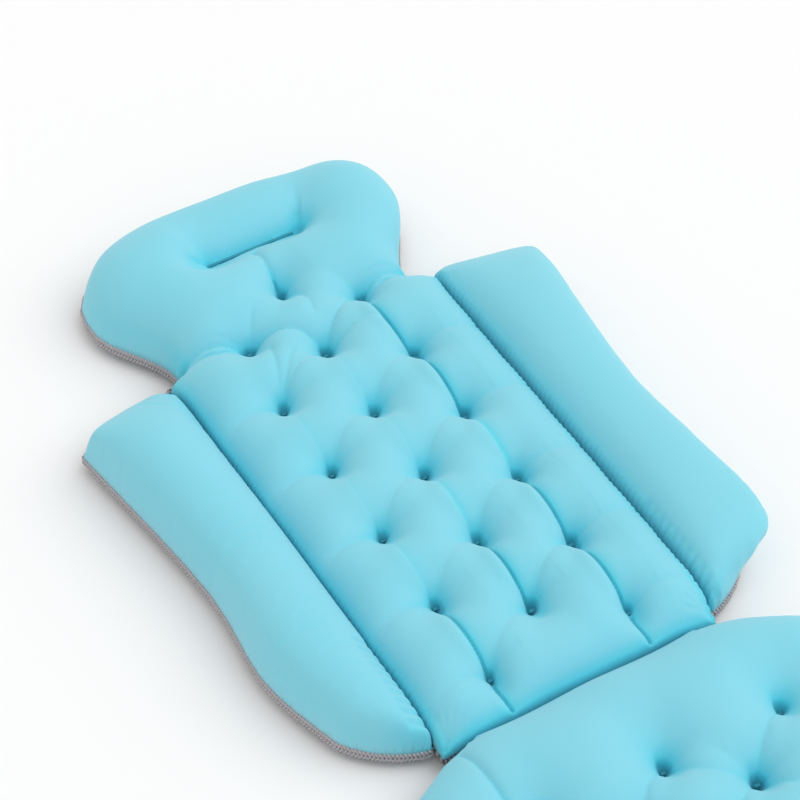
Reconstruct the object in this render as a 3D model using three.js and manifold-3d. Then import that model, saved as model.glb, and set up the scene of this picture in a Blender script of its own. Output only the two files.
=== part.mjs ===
// A full-body bath pillow, lying flat: a head pillow, a tufted back cushion with a bolster sewn along each
// side, and a tufted seat cushion. Each cushion is a stretch-fabric cover over fibre filling, sewn to a
// spacer-mesh base. The mat folds along its neck, waist and bolster seams, and suction cups hold it.
// Units are millimetres: X runs across the mat, +Y from the seat to the head, +Z up from the tub's surface.
import * as THREE from "three";
import { mergeVertices } from "three/addons/utils/BufferGeometryUtils.js";
import Module from "manifold-3d";

const wasm = await Module();
wasm.setup();

// Head pillow: lengths run from the neck seam toward the top edge
const HEAD_WIDTH = 304;
const HEAD_LENGTH = 163;
const HEAD_WIDEST_AT = 95;
const HEAD_CROWN = 58;
const NECK_WIDTH = 230;
const HEAD_TUFT_AT = 29;
const SLIT_AT = 93;
const SLIT_LENGTH = 106;
const SLIT_END_MARGIN = 4;

// Back cushion: lengths run from the neck seam toward the waist seam
const BACK_LENGTH = 454;
const BACK_CROWN = 50;
const CENTRE_WIDTH = 256;
const BACK_TUFT_X = 64;
const BACK_TUFT_ROWS = 5;
const NECK_TUFT_AT = 11;
const LAST_TUFT_TO_WAIST = 36;

// Bolsters: half-widths run from the mat's middle line, the wing's drop from the neck seam
const BACK_WIDTH = 450;
const WING_DROP = 34;
const WING_ROUND = 36;
const SIDE_HALF_WIDTH = 204;
const SIDE_TO_WAIST = 242;
const HIP_HALF_WIDTH = 209;
const HIP_TO_WAIST = 136;
const HIP_CORNER_HALF_WIDTH = 190;
const HIP_CORNER_TO_WAIST = 57;
const BOLSTER_END_TO_WAIST = 13;
const BOLSTER_CROWN = 64;

// Seat cushion: lengths run from the waist seam toward the foot edge
const SEAT_WIDTH = 400;
const SEAT_LENGTH = 392;
const SEAT_CROWN = 52;
const WAIST_WIDTH = 244;
const FLARE_DROP = 34;
const FLARE_TAPER = 10;
const FOOT_ROUND_DEPTH = 70;
const SEAT_TUFT_X = 54;
const SEAT_TUFT_MARGIN = 106;
const SEAT_TUFT_ROWS = 5;

// Fabric, mesh and seams
const BASE_THICKNESS = 6;
const COVER_THICKNESS = 1.2;
const CLEARANCE = 0.3;
const HINGE_GAP = 4;
const TUFT_PULL = 0.72;
const TUFT_SPREAD = 15;
const SLIT_PULL = 0.66;
const SLIT_SPREAD = 11;
const FILL_EDGE_INSET = 1.5;

// Tufting threads and the slit's stitching: a stem with a bar tack over the cover and under the mesh
const THREAD = 1.6;
const TACK_LENGTH = 4;
const TACK_WIDTH = 2.2;
const TACK_HEIGHT = 1.2;

// Suction cups: a flexible bell, a stem through the mesh and a button that holds it
const CUP_RADIUS = 21;
const CUP_HEIGHT = 10;
const CUP_RIM_WIDTH = 1.8;
const CUP_RIM_HEIGHT = 1;
const CUP_HOLLOW = 3.4;
const CUP_COLLAR_RADIUS = 6;
const CUP_COLLAR_HEIGHT = 1.8;
const CUP_STEM_RADIUS = 3.5;
const CUP_BUTTON_RADIUS = 7;
const CUP_BUTTON_HEIGHT = 2;
const CUP_SIDES = 12;
const HEAD_CUP_TO_SIDE = 72;
const HEAD_CUP_AT = 62;
const BACK_CUP_TO_SEAM = 32;
const BACK_CUP_ROWS = [1.5, 3.5];
const SEAT_CUP_TO_SIDE = 48;
const SEAT_CUP_TO_END = 62;

// Hanging loop: a folded ribbon at the head's top edge
const LOOP_WIDTH = 12;
const LOOP_REACH = 18;
const LOOP_OPENING = 6;
const LOOP_RIBBON = 1.2;

// How far each fold may rise before the cushions meet, in degrees, with the walls kept behind half of it
const HEAD_FOLD_UP = 35;
const SEAT_FOLD_UP = 55;
const BOLSTER_FOLD_UP = 35;
const FOLD_MARGIN = 2.5;

// Levels and lines that follow from the sizes above
const BASE_BOTTOM = CUP_HEIGHT;
const BASE_TOP = BASE_BOTTOM + BASE_THICKNESS;
const RIM = BASE_TOP + CLEARANCE;
const NECK_Y = 0;
const WAIST_Y = NECK_Y - BACK_LENGTH;
const HEAD_TOP_Y = NECK_Y + HEAD_LENGTH;
const FOOT_Y = WAIST_Y - SEAT_LENGTH;
const LOOP_START_Y = HEAD_TOP_Y + CLEARANCE;
const SEAM_X = CENTRE_WIDTH / 2;
const BACK_TUFT_PITCH = (BACK_LENGTH - NECK_TUFT_AT - LAST_TUFT_TO_WAIST) / BACK_TUFT_ROWS;
const SEAT_TUFT_PITCH = (SEAT_LENGTH - 2 * SEAT_TUFT_MARGIN) / (SEAT_TUFT_ROWS - 1);
const END_POWER = 3;

// Finishes
const finish = (color, roughness) => new THREE.MeshStandardMaterial({ color, roughness, metalness: 0 });
const COVER_FABRIC = finish(0x84d4e6, 0.9);
const FIBRE = finish(0xf2f2ee, 1);
const MESH_FABRIC = finish(0x98949a, 0.85);
const SEAM_FABRIC = finish(0x5cb6cc, 0.9);
const THREAD_YARN = finish(0x5fbdd2, 0.8);
const CUP_VINYL = finish(0xdfe9ea, 0.25);
const RIBBON = finish(0xefe9ea, 0.7);

const at = (x, y) => new THREE.Vector2(x, y);

// Closed mesh to manifold solid and back, for cuts and joins
const MERGE_TOLERANCE = 1e-4;

function toSolid(geometry) {
  const bare = geometry.clone();
  bare.deleteAttribute("normal");
  bare.deleteAttribute("uv");
  const merged = mergeVertices(bare, MERGE_TOLERANCE);
  const vertProperties = new Float32Array(merged.attributes.position.array);
  const triVerts = new Uint32Array(merged.index.array);
  return new wasm.Manifold(new wasm.Mesh({ numProp: 3, vertProperties, triVerts }));
}

function toGeometry(solid) {
  const mesh = solid.getMesh();
  const geometry = new THREE.BufferGeometry();
  geometry.setAttribute("position", new THREE.BufferAttribute(mesh.vertProperties, 3));
  geometry.setIndex(new THREE.BufferAttribute(mesh.triVerts, 1));
  return geometry;
}

function cut(geometry, tools) {
  let solid = toSolid(geometry);
  for (const tool of tools) {
    solid = solid.subtract(toSolid(tool));
  }
  return toGeometry(solid);
}

function joined(geometries) {
  const [first, ...rest] = geometries.map(toSolid);
  return toGeometry(rest.reduce((sum, next) => sum.add(next), first));
}

function indexed(points, triangles) {
  const geometry = new THREE.BufferGeometry().setFromPoints(points);
  geometry.setIndex(triangles);
  return geometry;
}

function mirrored(geometry) {
  const copy = geometry.clone().scale(-1, 1, 1);
  const index = copy.index.array;
  for (let k = 0; k < index.length; k += 3) {
    [index[k], index[k + 1]] = [index[k + 1], index[k]];
  }
  return copy;
}

// Grid lines at the given marks, with each stretch split into equal parts and the end stretches drawn
// closer toward the edge, where a cushion turns down to its seam
function gridStops(marks, parts) {
  const stops = [marks[0]];
  parts.forEach((count, k) => {
    const first = k === 0;
    const last = k === parts.length - 1;
    for (let i = 1; i <= count; i += 1) {
      const share = i / count;
      const easedIn = 1 - Math.cos((share * Math.PI) / 2);
      const easedOut = Math.sin((share * Math.PI) / 2);
      const step = first ? easedIn : last ? easedOut : share;
      stops.push(marks[k] + (marks[k + 1] - marks[k]) * step);
    }
  });
  return stops;
}

// A point of the patch stretched between four side curves: bottom and top run left to right, left and
// right run bottom to top
function patchPoint(sides, u, v) {
  const across = sides.bottom(u).multiplyScalar(1 - v).addScaledVector(sides.top(u), v);
  const along = sides.left(v).multiplyScalar(1 - u).addScaledVector(sides.right(v), u);
  const low = sides.bottom(0).multiplyScalar(1 - u).addScaledVector(sides.bottom(1), u);
  const high = sides.top(0).multiplyScalar(1 - u).addScaledVector(sides.top(1), u);
  const corners = low.multiplyScalar(1 - v).addScaledVector(high, v);
  return across.add(along).sub(corners);
}

const SIDE_SAMPLES = 60;

function distanceToSide(point, side) {
  let nearest = Infinity;
  for (let k = 0; k < SIDE_SAMPLES; k += 1) {
    const a = side(k / SIDE_SAMPLES);
    const b = side((k + 1) / SIDE_SAMPLES);
    const run = b.clone().sub(a);
    const share = THREE.MathUtils.clamp(point.clone().sub(a).dot(run) / run.lengthSq(), 0, 1);
    nearest = Math.min(nearest, point.distanceTo(a.addScaledVector(run, share)));
  }
  return nearest;
}

// Edge profiles, from 0 at the seam to 1 at the given reach: a free edge rises round, a sewn fold slopes
function roundEdge(distance, reach) {
  const share = Math.min(distance / reach, 1);
  return Math.sqrt(share * (2 - share));
}

const SLOPE_POWER = 0.8;

function slopedEdge(distance, reach) {
  const share = Math.min(distance / reach, 1);
  return Math.pow(share * (2 - share), SLOPE_POWER);
}

// The height over the rim that stays behind half of a fold's rise, at a distance from the fold's axis
function foldLimit(distance, foldUp) {
  const wall = THREE.MathUtils.degToRad(90 - foldUp / 2 - FOLD_MARGIN);
  return Math.tan(wall) * distance - (RIM - BASE_BOTTOM) - CLEARANCE;
}

const neckLimit = (p) => foldLimit(Math.abs(p.y - NECK_Y), HEAD_FOLD_UP);
const waistLimit = (p) => foldLimit(Math.abs(p.y - WAIST_Y), SEAT_FOLD_UP);
const seamLimit = (p) => foldLimit(Math.abs(SEAM_X - Math.abs(p.x)), BOLSTER_FOLD_UP);

// Share of the height left where sewn threads pull the cover down, fading out with the distance
const fade = (distance, spread) => Math.exp(-Math.pow(distance / spread, 2) / 2);

function tuftShare(point, tufts) {
  const pull = tufts.reduce((sum, tuft) => sum + fade(point.distanceTo(tuft), TUFT_SPREAD), 0);
  return 1 - TUFT_PULL * Math.min(pull, 1);
}

// Grid points close to a round corner crowd onto the edge, so a few passes draw them toward the middle of
// their neighbours
const CORNER_CELLS = 3;
const CORNER_PASSES = 6;

function relaxCorners(plan) {
  const lastRow = plan.length - 1;
  const lastColumn = plan[0].length - 1;
  for (let pass = 0; pass < CORNER_PASSES; pass += 1) {
    for (let j = 1; j < lastRow; j += 1) {
      for (let i = 1; i < lastColumn; i += 1) {
        const cells = Math.max(Math.min(i, lastColumn - i), Math.min(j, lastRow - j));
        if (cells > CORNER_CELLS) continue;
        const middle = plan[j][i - 1].clone().add(plan[j][i + 1]).add(plan[j - 1][i]).add(plan[j + 1][i]);
        plan[j][i].lerp(middle.divideScalar(4), 0.5);
      }
    }
  }
}

// A cushion's outer surface as a grid over its plan, with the grid's nearest points moved onto the tufts
function cushionGrid({ sides, columns, rows, tufts = [], rise }) {
  const plan = rows.map((v) => columns.map((u) => patchPoint(sides, u, v)));
  relaxCorners(plan);
  for (const tuft of tufts) {
    const inner = plan.slice(1, -1).flatMap((row) => row.slice(1, -1));
    const nearest = inner.reduce((best, p) => (p.distanceTo(tuft) < best.distanceTo(tuft) ? p : best));
    nearest.copy(tuft);
  }
  const lastRow = rows.length - 1;
  const lastColumn = columns.length - 1;
  const surface = plan.map((row, j) =>
    row.map((p, i) => {
      const onEdge = i === 0 || j === 0 || i === lastColumn || j === lastRow;
      const height = onEdge ? 0 : rise(p, (name) => distanceToSide(p, sides[name]));
      return new THREE.Vector3(p.x, p.y, RIM + height);
    })
  );
  const edge = [];
  for (let i = 0; i < lastColumn; i += 1) edge.push([i, 0]);
  for (let j = 0; j < lastRow; j += 1) edge.push([lastColumn, j]);
  for (let i = lastColumn; i > 0; i -= 1) edge.push([i, lastRow]);
  for (let j = lastRow; j > 0; j -= 1) edge.push([0, j]);
  return { surface, edge, lastRow, lastColumn, tufts };
}

// The grid moved inward: interior points along the surface normal, edge points level toward the inside
function insetSurface(grid, depth, edgeInset) {
  const { surface, edge, lastRow, lastColumn } = grid;
  const inset = surface.map((row) => row.map((p) => p.clone()));
  for (let j = 1; j < lastRow; j += 1) {
    for (let i = 1; i < lastColumn; i += 1) {
      const across = surface[j][i + 1].clone().sub(surface[j][i - 1]);
      const along = surface[j + 1][i].clone().sub(surface[j - 1][i]);
      inset[j][i].addScaledVector(across.cross(along).normalize(), -depth);
    }
  }
  edge.forEach(([i, j], k) => {
    const [beforeI, beforeJ] = edge[(k + edge.length - 1) % edge.length];
    const [afterI, afterJ] = edge[(k + 1) % edge.length];
    const run = surface[afterJ][afterI].clone().sub(surface[beforeJ][beforeI]);
    const inward = new THREE.Vector3(-run.y, run.x, 0).normalize();
    inset[j][i].addScaledVector(inward, edgeInset);
  });
  return inset;
}

// Two triangles for each grid cell, split along the shorter diagonal, or from the corner in a corner cell
function gridTriangles({ surface, lastRow, lastColumn }, offset) {
  const width = lastColumn + 1;
  const triangles = [];
  for (let j = 0; j < lastRow; j += 1) {
    for (let i = 0; i < lastColumn; i += 1) {
      const a = offset + j * width + i;
      const [b, c, d] = [a + 1, a + width + 1, a + width];
      const rising = surface[j][i].distanceTo(surface[j + 1][i + 1]);
      const falling = surface[j][i + 1].distanceTo(surface[j + 1][i]);
      const atSide = i === 0 || i === lastColumn - 1;
      const atEnd = j === 0 || j === lastRow - 1;
      const fromCorner = (i === 0) === (j === 0);
      const risingSplit = atSide && atEnd ? fromCorner : rising <= falling;
      triangles.push(...(risingSplit ? [a, b, c, a, c, d] : [a, b, d, b, c, d]));
    }
  }
  return triangles;
}

const flipped = (triangles) => triangles.slice().reverse();

// A flat face over the edge points alone: strips across the plan, with a fan at each end
function flatTriangles({ lastColumn, lastRow }) {
  const right = (j) => lastColumn + j;
  const left = (j) => (j === 0 ? 0 : 2 * (lastColumn + lastRow) - j);
  const top = (i) => 2 * lastColumn + lastRow - i;
  const triangles = [];
  for (let i = 0; i < lastColumn; i += 1) triangles.push(i, i + 1, left(1));
  triangles.push(right(0), right(1), left(1));
  for (let j = 1; j < lastRow - 1; j += 1) {
    triangles.push(left(j), right(j), right(j + 1), left(j), right(j + 1), left(j + 1));
  }
  const fan = left(lastRow - 1);
  triangles.push(fan, right(lastRow - 1), right(lastRow));
  for (let i = lastColumn; i > 0; i -= 1) triangles.push(fan, top(i), top(i - 1));
  return triangles;
}

// A fabric cover: the outer surface, the inner surface one fabric thickness below and the rim between
function coverShell(grid) {
  const inner = insetSurface(grid, COVER_THICKNESS, COVER_THICKNESS);
  const width = grid.lastColumn + 1;
  const count = width * (grid.lastRow + 1);
  const triangles = [...gridTriangles(grid, 0), ...flipped(gridTriangles(grid, count))];
  grid.edge.forEach(([i, j], k) => {
    const [nextI, nextJ] = grid.edge[(k + 1) % grid.edge.length];
    const here = j * width + i;
    const next = nextJ * width + nextI;
    triangles.push(here, here + count, next + count, here, next + count, next);
  });
  return indexed([...grid.surface.flat(), ...inner.flat()], triangles);
}

// The fibre filling under a cover: the cover's form less its thickness and clearance, with a flat bottom
function filling(grid) {
  const depth = COVER_THICKNESS + CLEARANCE;
  const top = insetSurface(grid, depth, depth + FILL_EDGE_INSET);
  const edgeIndex = grid.edge.map(([i, j]) => j * (grid.lastColumn + 1) + i);
  const bottom = flipped(flatTriangles(grid)).map((k) => edgeIndex[k]);
  return indexed(top.flat(), [...gridTriangles(grid, 0), ...bottom]);
}

// The spacer mesh under a cushion: its plan as a flat slab
function meshBase(grid) {
  const low = grid.edge.map(([i, j]) => grid.surface[j][i].clone().setZ(BASE_BOTTOM));
  const high = low.map((p) => p.clone().setZ(BASE_TOP));
  const count = low.length;
  const face = flatTriangles(grid);
  const triangles = [...flipped(face), ...face.map((k) => count + k)];
  low.forEach((_, k) => {
    const next = (k + 1) % count;
    triangles.push(k, next, count + next, k, count + next, count + k);
  });
  return indexed([...low, ...high], triangles);
}

// Height of the outer surface over a point of the plan
function heightAt(grid, x, y) {
  const points = grid.surface.flat();
  const triangles = gridTriangles(grid, 0);
  const place = new THREE.Vector3(x, y, 0);
  for (let k = 0; k < triangles.length; k += 3) {
    const [a, b, c] = triangles.slice(k, k + 3).map((index) => points[index]);
    const flat = [a, b, c].map((p) => p.clone().setZ(0));
    const shares = THREE.Triangle.getBarycoord(place, ...flat, new THREE.Vector3());
    if (shares && Math.min(shares.x, shares.y, shares.z) > -MERGE_TOLERANCE) {
      return a.z * shares.x + b.z * shares.y + c.z * shares.z;
    }
  }
  throw new Error("the point lies outside the cushion");
}

// The level where a tack rests across the walls of the dimple that its thread pulls
const FOOTPRINT_STEPS = 4;

function tackSeat(grid, place, tackLength) {
  let highest = 0;
  for (let i = -FOOTPRINT_STEPS; i <= FOOTPRINT_STEPS; i += 1) {
    for (let j = -FOOTPRINT_STEPS; j <= FOOTPRINT_STEPS; j += 1) {
      const x = place.x + (tackLength / 2) * (i / FOOTPRINT_STEPS);
      const y = place.y + (TACK_WIDTH / 2) * (j / FOOTPRINT_STEPS);
      highest = Math.max(highest, heightAt(grid, x, y));
    }
  }
  return highest + CLEARANCE;
}

function box(width, length, bottom, top) {
  return new THREE.BoxGeometry(width, length, top - bottom).translate(0, 0, (bottom + top) / 2);
}

// Thread sewn through a cushion, from the tack under the mesh to the tack on the cover
function sewnThread(stemLength, tackLength, highBottom) {
  const lowTop = BASE_BOTTOM - CLEARANCE;
  const stem = box(stemLength, THREAD, lowTop - TACK_HEIGHT / 2, highBottom + TACK_HEIGHT / 2);
  const lowTack = box(tackLength, TACK_WIDTH, lowTop - TACK_HEIGHT, lowTop);
  const highTack = box(tackLength, TACK_WIDTH, highBottom, highBottom + TACK_HEIGHT);
  return joined([stem, lowTack, highTack]);
}

function threadHole(place, stemLength, top) {
  return box(stemLength + 2 * CLEARANCE, THREAD + 2 * CLEARANCE, 0, top).translate(place.x, place.y, 0);
}

// One suction cup, turned about its own axis: hollow bell, collar, stem and button
const BUTTON_BOTTOM = BASE_TOP + CLEARANCE;
const BUTTON_TOP = BUTTON_BOTTOM + CUP_BUTTON_HEIGHT;
const HOLLOW_SHOULDER = 0.62;

function suctionCup() {
  const collarTop = BASE_BOTTOM - CLEARANCE;
  const rimInner = CUP_RADIUS - CUP_RIM_WIDTH;
  const profile = [
    at(0, CUP_HOLLOW),
    at(rimInner * HOLLOW_SHOULDER, CUP_HOLLOW * HOLLOW_SHOULDER),
    at(rimInner, 0),
    at(CUP_RADIUS, 0),
    at(CUP_RADIUS, CUP_RIM_HEIGHT),
    at(CUP_COLLAR_RADIUS, collarTop - CUP_COLLAR_HEIGHT),
    at(CUP_COLLAR_RADIUS, collarTop),
    at(CUP_STEM_RADIUS, collarTop),
    at(CUP_STEM_RADIUS, BUTTON_BOTTOM),
    at(CUP_BUTTON_RADIUS, BUTTON_BOTTOM),
    at(CUP_BUTTON_RADIUS, BUTTON_TOP),
    at(0, BUTTON_TOP),
  ];
  return new THREE.LatheGeometry(profile, CUP_SIDES).rotateX(Math.PI / 2);
}

function cupHole(place, radius, bottom, top) {
  const hole = new THREE.CylinderGeometry(radius, radius, top - bottom, CUP_SIDES).rotateX(Math.PI / 2);
  return hole.translate(place.x, place.y, (bottom + top) / 2);
}

// Everything that one cushion holds: its cover, filling and base, with the holes for threads and cups
const pillow = new THREE.Group();

function addMesh(group, name, geometry, material) {
  const mesh = new THREE.Mesh(geometry, material);
  mesh.name = name;
  group.add(mesh);
  return mesh;
}

function addCushion(name, grid, cups = [], stitches = []) {
  const group = new THREE.Group();
  pillow.add(group);
  const tufts = grid.tufts.map((place, k) => ({
    name: `${name}_tuft_${k + 1}`,
    place,
    stemLength: THREAD,
    tackLength: TACK_LENGTH,
  }));
  const threads = [...tufts, ...stitches];
  for (const thread of threads) {
    thread.seat = tackSeat(grid, thread.place, thread.tackLength);
  }
  const holes = threads.map((thread) => threadHole(thread.place, thread.stemLength, thread.seat));
  const buttonRadius = CUP_BUTTON_RADIUS + CLEARANCE;
  const stemRadius = CUP_STEM_RADIUS + CLEARANCE;
  const pockets = cups.map((cup) => cupHole(cup, buttonRadius, BASE_TOP, BUTTON_TOP + CLEARANCE));
  const stemHoles = cups.map((cup) => cupHole(cup, stemRadius, 0, RIM));
  addMesh(group, `${name}_cover`, cut(coverShell(grid), holes), COVER_FABRIC);
  addMesh(group, `${name}_fill`, cut(filling(grid), [...holes, ...pockets]), FIBRE);
  addMesh(group, `${name}_base_mesh`, cut(meshBase(grid), [...holes, ...stemHoles]), MESH_FABRIC);
  for (const thread of threads) {
    const geometry = sewnThread(thread.stemLength, thread.tackLength, thread.seat);
    const mesh = addMesh(group, thread.name, geometry, THREAD_YARN);
    mesh.position.set(thread.place.x, thread.place.y, 0);
  }
  cups.forEach((cup, k) => {
    const mesh = addMesh(group, `${name}_cup_${k + 1}`, suctionCup(), CUP_VINYL);
    mesh.position.set(cup.x, cup.y, 0);
  });
  return group;
}

// A straight side, and a broad round end as a superellipse: its reach past the widest line at a given
// distance from the middle, or its half-width at a given reach
const straight = (a, b) => (t) => a.clone().lerp(b, t);
const endCurve = (share, size) => size * Math.pow(1 - Math.pow(Math.abs(share), END_POWER), 1 / END_POWER);
const END_CORNER = Math.pow(0.5, 1 / END_POWER);

const mirrorX = (side) => (t) => {
  const p = side(t);
  return at(-p.x, p.y);
};

// Head pillow: widens from the neck, with a broad round top, one tuft and a stitched slit
const headBottomY = NECK_Y + HINGE_GAP;
const headWidestY = NECK_Y + HEAD_WIDEST_AT;
const headRound = HEAD_TOP_Y - headWidestY;
const headCornerY = headWidestY + headRound * END_CORNER;

function headRight(t) {
  const y = headBottomY + (headCornerY - headBottomY) * t;
  if (y > headWidestY) return at(endCurve((y - headWidestY) / headRound, HEAD_WIDTH / 2), y);
  const swell = (1 - Math.cos((Math.PI * (y - headBottomY)) / (headWidestY - headBottomY))) / 2;
  return at((NECK_WIDTH + (HEAD_WIDTH - NECK_WIDTH) * swell) / 2, y);
}

function headTop(t) {
  const share = END_CORNER * (2 * t - 1);
  return at((share * HEAD_WIDTH) / 2, headWidestY + endCurve(share, headRound));
}

const headSides = {
  bottom: straight(at(-NECK_WIDTH / 2, headBottomY), at(NECK_WIDTH / 2, headBottomY)),
  right: headRight,
  top: headTop,
  left: mirrorX(headRight),
};
const headTufts = [at(0, NECK_Y + HEAD_TUFT_AT)];
const slitY = NECK_Y + SLIT_AT;
const slitDistance = (p) => Math.hypot(Math.max(Math.abs(p.x) - SLIT_LENGTH / 2, 0), p.y - slitY);
const HEAD_EDGE_REACH = 62;
const HEAD_NECK_REACH = 60;
const headShareX = (x) => x / HEAD_WIDTH + 0.5;
const headShareY = (y) => (y - headBottomY) / (HEAD_TOP_Y - headBottomY);
const headColumnMarks = [-SLIT_LENGTH / 2, SLIT_LENGTH / 2].map(headShareX);
const headRowMarks = [headTufts[0].y, slitY].map(headShareY);

const headGrid = cushionGrid({
  sides: headSides,
  columns: gridStops([0, ...headColumnMarks, 1], [5, 6, 5]),
  rows: gridStops([0, ...headRowMarks, 1], [3, 4, 5]),
  tufts: headTufts,
  rise: (p, to) => {
    const sides = roundEdge(to("left"), HEAD_EDGE_REACH) * roundEdge(to("right"), HEAD_EDGE_REACH);
    const ends = roundEdge(to("top"), HEAD_EDGE_REACH) * slopedEdge(to("bottom"), HEAD_NECK_REACH);
    const slitShare = 1 - SLIT_PULL * fade(slitDistance(p), SLIT_SPREAD);
    return Math.min(HEAD_CROWN * sides * ends * slitShare * tuftShare(p, headTufts), neckLimit(p));
  },
});
const headCupX = HEAD_WIDTH / 2 - HEAD_CUP_TO_SIDE;
const headCups = [-1, 1].map((side) => at(side * headCupX, NECK_Y + HEAD_CUP_AT));
const slitStitch = {
  name: "head_slit_stitch",
  place: at(0, slitY),
  stemLength: SLIT_LENGTH - 2 * SLIT_END_MARGIN - TACK_LENGTH,
  tackLength: SLIT_LENGTH - 2 * SLIT_END_MARGIN,
};
const headGroup = addCushion("head", headGrid, headCups, [slitStitch]);

// Hanging loop: a ribbon folded over and sewn into the head's top edge
function hangingLoop() {
  const outer = LOOP_OPENING / 2 + LOOP_RIBBON;
  const inner = LOOP_OPENING / 2;
  const bend = LOOP_REACH - outer;
  const ribbon = new THREE.Shape();
  ribbon.moveTo(0, -outer);
  ribbon.lineTo(bend, -outer);
  ribbon.absarc(bend, 0, outer, -Math.PI / 2, Math.PI / 2, false);
  ribbon.lineTo(0, outer);
  ribbon.lineTo(0, inner);
  ribbon.lineTo(bend, inner);
  ribbon.absarc(bend, 0, inner, Math.PI / 2, -Math.PI / 2, true);
  ribbon.lineTo(0, -inner);
  ribbon.closePath();
  const strip = new THREE.ExtrudeGeometry(ribbon, { depth: LOOP_WIDTH, bevelEnabled: false, curveSegments: 6 });
  const alongY = new THREE.Vector3(0, 1, 0);
  const alongZ = new THREE.Vector3(0, 0, 1);
  const alongX = new THREE.Vector3(1, 0, 0);
  strip.applyMatrix4(new THREE.Matrix4().makeBasis(alongY, alongZ, alongX));
  return strip.translate(-LOOP_WIDTH / 2, 0, 0);
}

const loop = addMesh(headGroup, "hanging_loop", hangingLoop(), RIBBON);
loop.position.set(0, LOOP_START_Y, (BASE_BOTTOM + BASE_TOP) / 2);

// Back cushion: a straight panel between the bolster seams, with three columns of staggered tufts
const backLeft = -SEAM_X + HINGE_GAP;
const backRight = SEAM_X - HINGE_GAP;
const backTop = NECK_Y - HINGE_GAP;
const backBottom = WAIST_Y + HINGE_GAP;
const backSides = {
  bottom: straight(at(backLeft, backBottom), at(backRight, backBottom)),
  top: straight(at(backLeft, backTop), at(backRight, backTop)),
  left: straight(at(backLeft, backBottom), at(backLeft, backTop)),
  right: straight(at(backRight, backBottom), at(backRight, backTop)),
};
const backTufts = [];
const backTuftLevels = [];
for (let row = BACK_TUFT_ROWS; row >= 1; row -= 1) {
  const sideY = NECK_Y - NECK_TUFT_AT - BACK_TUFT_PITCH * row;
  const middleY = sideY + BACK_TUFT_PITCH / 2;
  backTufts.push(at(-BACK_TUFT_X, sideY), at(BACK_TUFT_X, sideY), at(0, middleY));
  backTuftLevels.push(sideY, middleY);
}
const neckPinches = [-1, 1].map((side) => at(side * BACK_TUFT_X, NECK_Y - NECK_TUFT_AT));
const backShareX = (x) => (x - backLeft) / (backRight - backLeft);
const backShareY = (y) => (y - backBottom) / (backTop - backBottom);
const BACK_SIDE_REACH = 46;
const BACK_NECK_REACH = 34;
const BACK_WAIST_REACH = 50;

const backGrid = cushionGrid({
  sides: backSides,
  columns: gridStops([0, backShareX(-BACK_TUFT_X), 0.5, backShareX(BACK_TUFT_X), 1], [4, 3, 3, 4]),
  rows: gridStops([0, ...backTuftLevels.map(backShareY), 1], [3, ...backTuftLevels.slice(1).map(() => 2), 4]),
  tufts: backTufts,
  rise: (p, to) => {
    const sides = slopedEdge(to("left"), BACK_SIDE_REACH) * slopedEdge(to("right"), BACK_SIDE_REACH);
    const ends = slopedEdge(to("bottom"), BACK_WAIST_REACH) * slopedEdge(to("top"), BACK_NECK_REACH);
    const height = BACK_CROWN * sides * ends * tuftShare(p, [...backTufts, ...neckPinches]);
    return Math.min(height, neckLimit(p), waistLimit(p), seamLimit(p));
  },
});
const backCupX = SEAM_X - BACK_CUP_TO_SEAM;
const backCupLevels = BACK_CUP_ROWS.map((row) => NECK_Y - NECK_TUFT_AT - BACK_TUFT_PITCH * row);
const backCups = backCupLevels.flatMap((y) => [-1, 1].map((side) => at(side * backCupX, y)));
const backGroup = addCushion("back", backGrid, backCups);

// Bolsters: long rolls beside the back, wide at the wing corner, drawn in at the side and round at the hip
const bolsterInner = SEAM_X + HINGE_GAP;
const bolsterTop = NECK_Y - HINGE_GAP;
const bolsterBottom = WAIST_Y + BOLSTER_END_TO_WAIST;
const wingCorner = at(BACK_WIDTH / 2, NECK_Y - WING_DROP);
const hipCorner = at(HIP_CORNER_HALF_WIDTH, WAIST_Y + HIP_CORNER_TO_WAIST);
const wingEdge = new THREE.QuadraticBezierCurve(
  at(bolsterInner, bolsterTop),
  at(wingCorner.x - WING_ROUND, bolsterTop),
  wingCorner
);
const outerEdge = new THREE.SplineCurve([
  hipCorner,
  at(HIP_HALF_WIDTH, WAIST_Y + HIP_TO_WAIST),
  at(SIDE_HALF_WIDTH, WAIST_Y + SIDE_TO_WAIST),
  wingCorner,
]);
const hipBend = at((bolsterInner + 2 * hipCorner.x) / 3, (3 * bolsterBottom + hipCorner.y) / 4);
const hipEdge = new THREE.QuadraticBezierCurve(at(bolsterInner, bolsterBottom), hipBend, hipCorner);
const bolsterSides = {
  bottom: (t) => hipEdge.getPoint(t),
  right: (t) => outerEdge.getPoint(t),
  top: (t) => wingEdge.getPoint(t),
  left: straight(at(bolsterInner, bolsterBottom), at(bolsterInner, bolsterTop)),
};
const BOLSTER_REACH = 46;
const BOLSTER_END_REACH = 60;

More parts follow.
